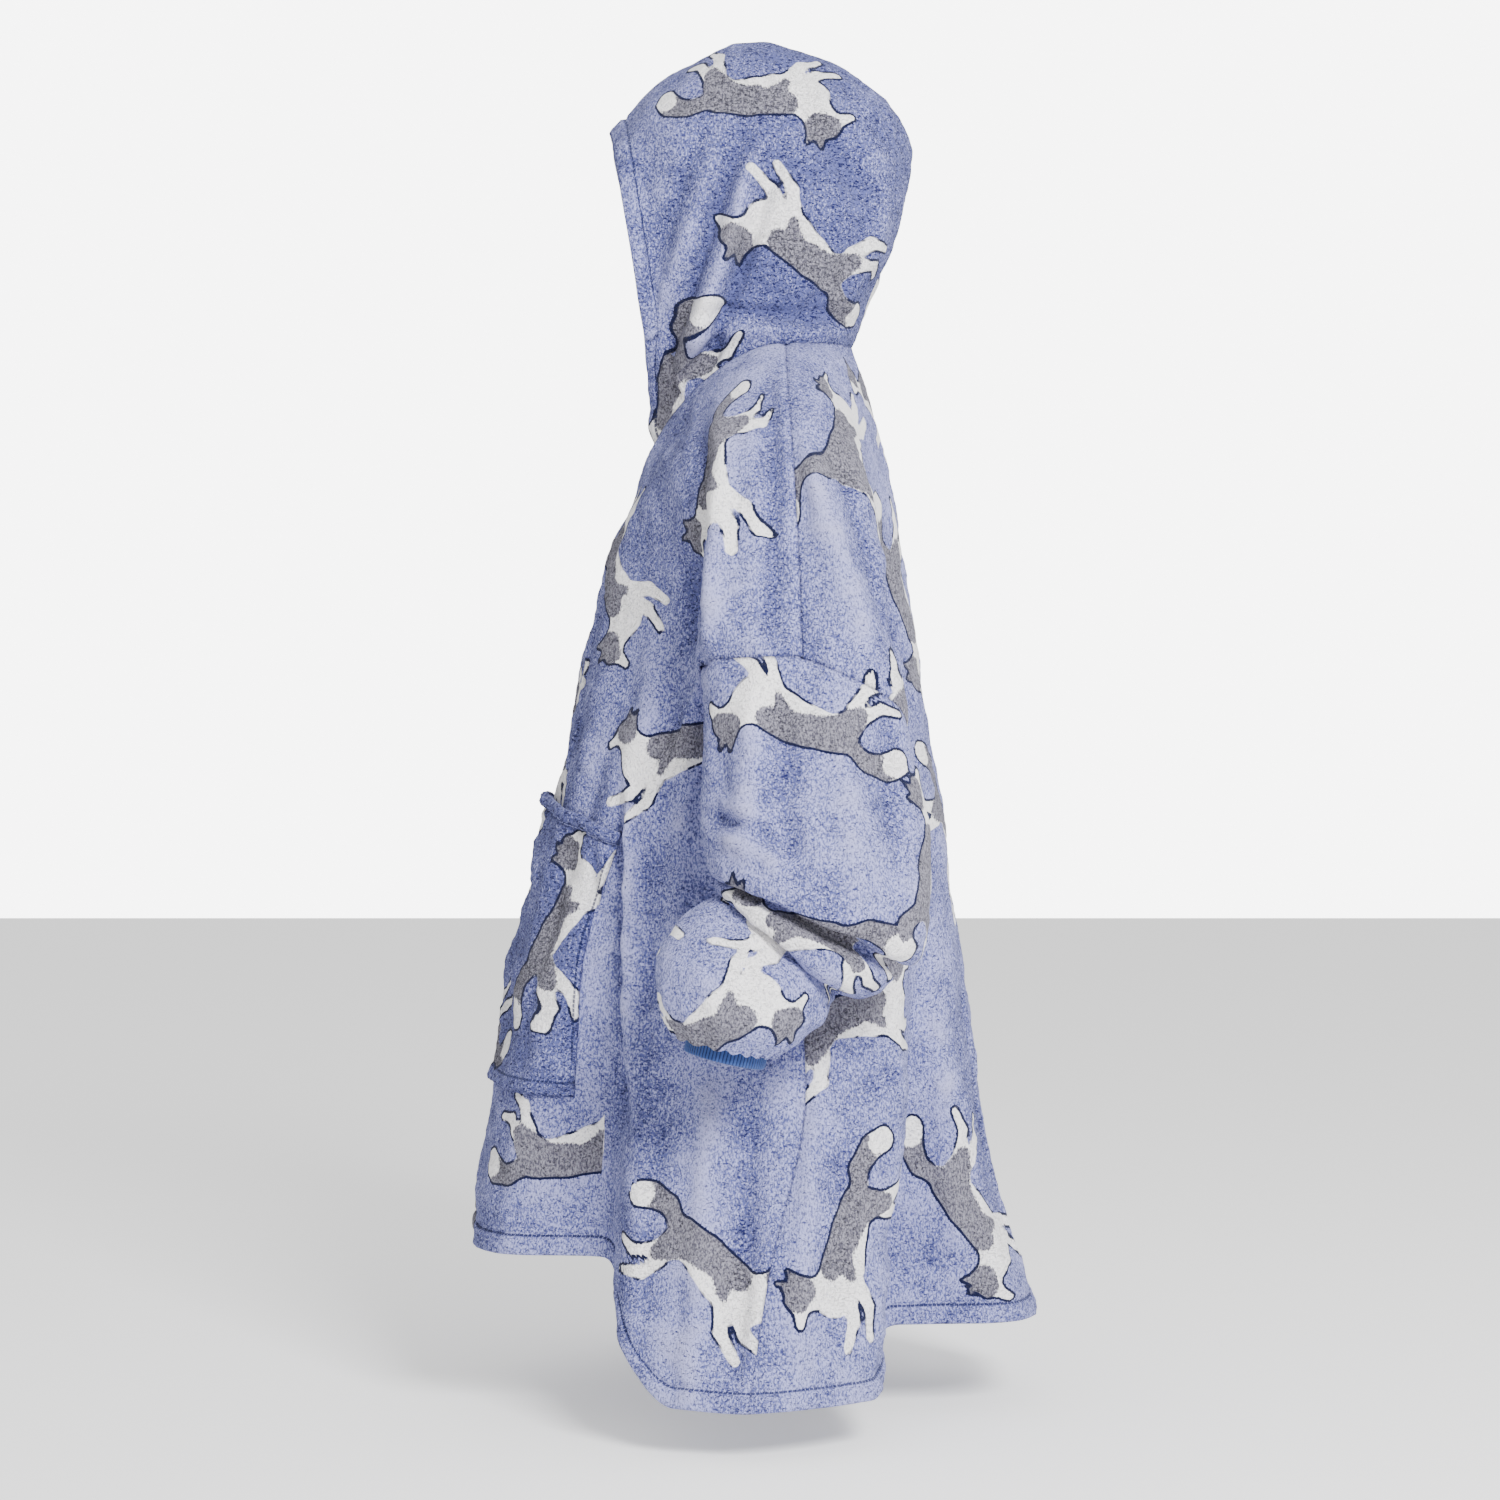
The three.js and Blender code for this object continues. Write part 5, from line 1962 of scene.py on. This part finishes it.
        # Rows of stitches sunk in the pile show as a dark broken line
        stitch = n.size(n.plus(n.field("stitch"), n.times(ragged, 0.25)))
        along = n.math("FRACT", n.math("DIVIDE", n.field("run"), self.stitch_mm))
        dash = n.size(n.minus(along, 0.5))
        sewn = n.times(n.step(stitch, *self.stitch_width), n.step(dash, *self.stitch_gap))
        colour = n.blend(n.times(sewn, self.sewn_full), colour, linear(self.thread))
        # Beside a seam the pile turns down into a shaded groove
        seam = n.step(n.plus(n.field("seam_distance"), ragged), *self.seam_groove)
        colour = n.blend(n.times(seam, self.seam_full), colour, linear(self.parting))
        height = n.minus(n.times(tufts, 0.8), n.times(parted, 0.5))
        height = n.plus(height, n.times(brushed, 0.8))
        relief = n.relief(height, 0.9, WALL)
        return n.finish({
            "Base Color": colour,
            "Roughness": 1.0,
            "Normal": relief,
            "Specular IOR Level": 0.12,
            "Sheen Weight": 0.1,
            "Sheen Roughness": 0.5,
            "Sheen Tint": linear(self.sheen),
        })


@dataclass(frozen=True)
class RibKnit:
    """Fine cotton rib, piece dyed denim blue: matt, with shaded grooves between its ribs."""

    name: str = "rib_knit_blue"
    crown: str = "#344C86"
    groove: str = "#14224C"
    loop_mm: float = 1.6
    relief_mm: float = 0.6

    def build(self) -> bpy.types.Material:
        """Makes the material.

        Returns:
            The material.
        """
        n = Nodes(self.name)
        place = n.add("ShaderNodeTexCoord").outputs["Object"]
        phase = n.math("FRACT", n.field("around"))
        ridge = n.minus(1.0, n.times(n.size(n.minus(phase, 0.5)), 2.0))
        loops = n.noise(place, self.loop_mm, 2.0, 0.5)
        share = n.minus(1.0, n.step(n.plus(ridge, n.times(loops, 0.3)), 0.6, 1.1))
        return n.finish({
            "Base Color": n.blend(share, linear(self.groove), linear(self.crown)),
            "Roughness": 0.95,
            "Normal": n.relief(loops, 0.5, self.relief_mm),
            "Specular IOR Level": 0.2,
            "Sheen Weight": 0.2,
            "Sheen Roughness": 0.5,
        })


@dataclass(frozen=True)
class Paper:
    """Matt white studio paper."""

    name: str = "studio_paper"
    colour: str = "#EDEDED"
    glow: float = 0.6

    def build(self) -> bpy.types.Material:
        """Makes the material.

        Returns:
            The material.
        """
        n = Nodes(self.name)
        return n.finish({
            "Base Color": linear(self.colour),
            "Roughness": 0.9,
            "Emission Color": linear(self.colour),
            "Emission Strength": self.glow,
        })


@dataclass(frozen=True)
class Lamp:
    """A soft lamp: its place and size in metres and its power in watts."""

    name: str
    place: tuple[float, float, float]
    size: float
    power: float


LAMPS = (
    Lamp("key", (2.9, 1.2, 1.4), 1.1, 250),
)


@dataclass
class Studio:
    """Camera, floor and lights."""

    low_glow: float = 0.2
    high_glow: float = 1.3
    wall: float = 7.0
    floor_z: float = -1010.0
    floor_reach: float = 9.0

    def camera(self) -> None:
        """Adds the camera at the photo's view, from the garment's left."""
        data = bpy.data.cameras.new("view")
        data.sensor_width = 36.0
        width = PICTURE_PIXELS * PIXEL_MM
        data.lens = data.sensor_width * VIEW_DISTANCE / width
        camera = bpy.data.objects.new("view", data)
        camera.location = (VIEW_DISTANCE * MM, VIEW_Y * MM, VIEW_Z * MM)
        camera.rotation_euler = (math.pi / 2, 0, math.pi / 2)
        bpy.context.collection.objects.link(camera)
        bpy.context.scene.camera = camera

    def floor(self) -> None:
        """Adds a plain pale floor."""
        mesh = bpy.data.meshes.new("floor")
        reach = self.floor_reach
        z = self.floor_z * MM
        corners = [(-reach, -reach, z), (reach, -reach, z), (reach, reach, z), (-reach, reach, z)]
        mesh.from_pydata(corners, [], [(0, 1, 2, 3)])
        mesh.materials.append(Paper().build())
        floor = bpy.data.objects.new("floor", mesh)
        bpy.context.collection.objects.link(floor)

    def lights(self) -> None:
        """Adds soft studio light: a bright room and a soft lamp above the camera's side."""
        world = bpy.data.worlds.new("studio")
        bpy.context.scene.world = world
        world.use_nodes = True
        tree = world.node_tree
        backdrop = tree.nodes["Background"]
        backdrop.inputs["Color"].default_value = (1, 1, 1, 1)
        # The room's light comes from above, and the wall behind is bright to the camera
        seen_way = tree.nodes.new("ShaderNodeTexCoord").outputs["Generated"]
        split = tree.nodes.new("ShaderNodeSeparateXYZ")
        tree.links.new(seen_way, split.inputs[0])
        glow = tree.nodes.new("ShaderNodeMapRange")
        glow.inputs["To Min"].default_value = self.low_glow
        glow.inputs["To Max"].default_value = self.high_glow
        tree.links.new(split.outputs["Z"], glow.inputs["Value"])
        seen = tree.nodes.new("ShaderNodeLightPath").outputs["Is Camera Ray"]
        strength = tree.nodes.new("ShaderNodeMix")
        strength.inputs["B"].default_value = self.wall
        tree.links.new(seen, strength.inputs["Factor"])
        tree.links.new(glow.outputs[0], strength.inputs["A"])
        tree.links.new(strength.outputs["Result"], backdrop.inputs["Strength"])
        for lamp in LAMPS:
            data = bpy.data.lights.new(lamp.name, "AREA")
            data.shape = "SQUARE"
            data.size = lamp.size
            data.energy = lamp.power
            light = bpy.data.objects.new(lamp.name, data)
            light.location = lamp.place
            way = Vector((0, VIEW_Y * MM, VIEW_Z * MM)) - Vector(lamp.place)
            light.rotation_euler = way.to_track_quat("-Z", "Y").to_euler()
            bpy.context.collection.objects.link(light)


# Each piece's flat cut: width and length in metres, and its area in square metres
CUTS = {
    "front": (1.06, 0.97, 0.72),
    "back": (1.04, 1.08, 0.70),
    "sleeve": (0.56, 0.45, 0.21),
    "hood": (0.40, 0.39, 0.125),
    "pocket": (0.43, 0.28, 0.108),
    "cuff": (0.23, 0.046, 0.0105),
}


class Hoodie:
    """The whole garment."""

    def build(self) -> None:
        """Builds each piece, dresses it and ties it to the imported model."""
        front, back = Panel(Quarter.FRONT), Panel(Quarter.BACK)
        sleeves = {side: Sleeve(side) for side in Side}
        hoods = {side: HoodHalf(side) for side in Side}
        pocket = Pocket()
        left = [hoods[Side.LEFT], front, back, sleeves[Side.LEFT], pocket]
        right = [hoods[Side.RIGHT], sleeves[Side.RIGHT]]
        fields = Print().plan({maker.name: maker.grid for maker in left + right})
        plush, knit = Plush().build(), RibKnit().build()
        for maker in (front, back, *sleeves.values(), *hoods.values(), pocket):
            self.dress(maker.build(fields[maker.name]), maker.name, plush, "plush")
        for side in Side:
            cuff = Cuff(side)
            self.dress(cuff.build(), cuff.name, knit, "rib_knit")

    @staticmethod
    def dress(piece: bpy.types.Object, node: str, material: bpy.types.Material, slot: str) -> None:
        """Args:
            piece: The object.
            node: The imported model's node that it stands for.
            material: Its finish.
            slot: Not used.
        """
        piece.name = f"{node}_cloth"
        piece.data.materials.append(material)
        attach(piece, "root")
        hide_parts(node)
        width, length, area = CUTS[node.split("_")[0]]
        log.info("%s dressed", piece.name)


def main() -> None:
    """Builds the studio and the garment."""
    logging.basicConfig(level=logging.INFO, format="%(name)s: %(message)s")
    studio = Studio()
    studio.camera()
    Hoodie().build()
    studio.floor()
    studio.lights()


if __name__ == "__main__":
    main()
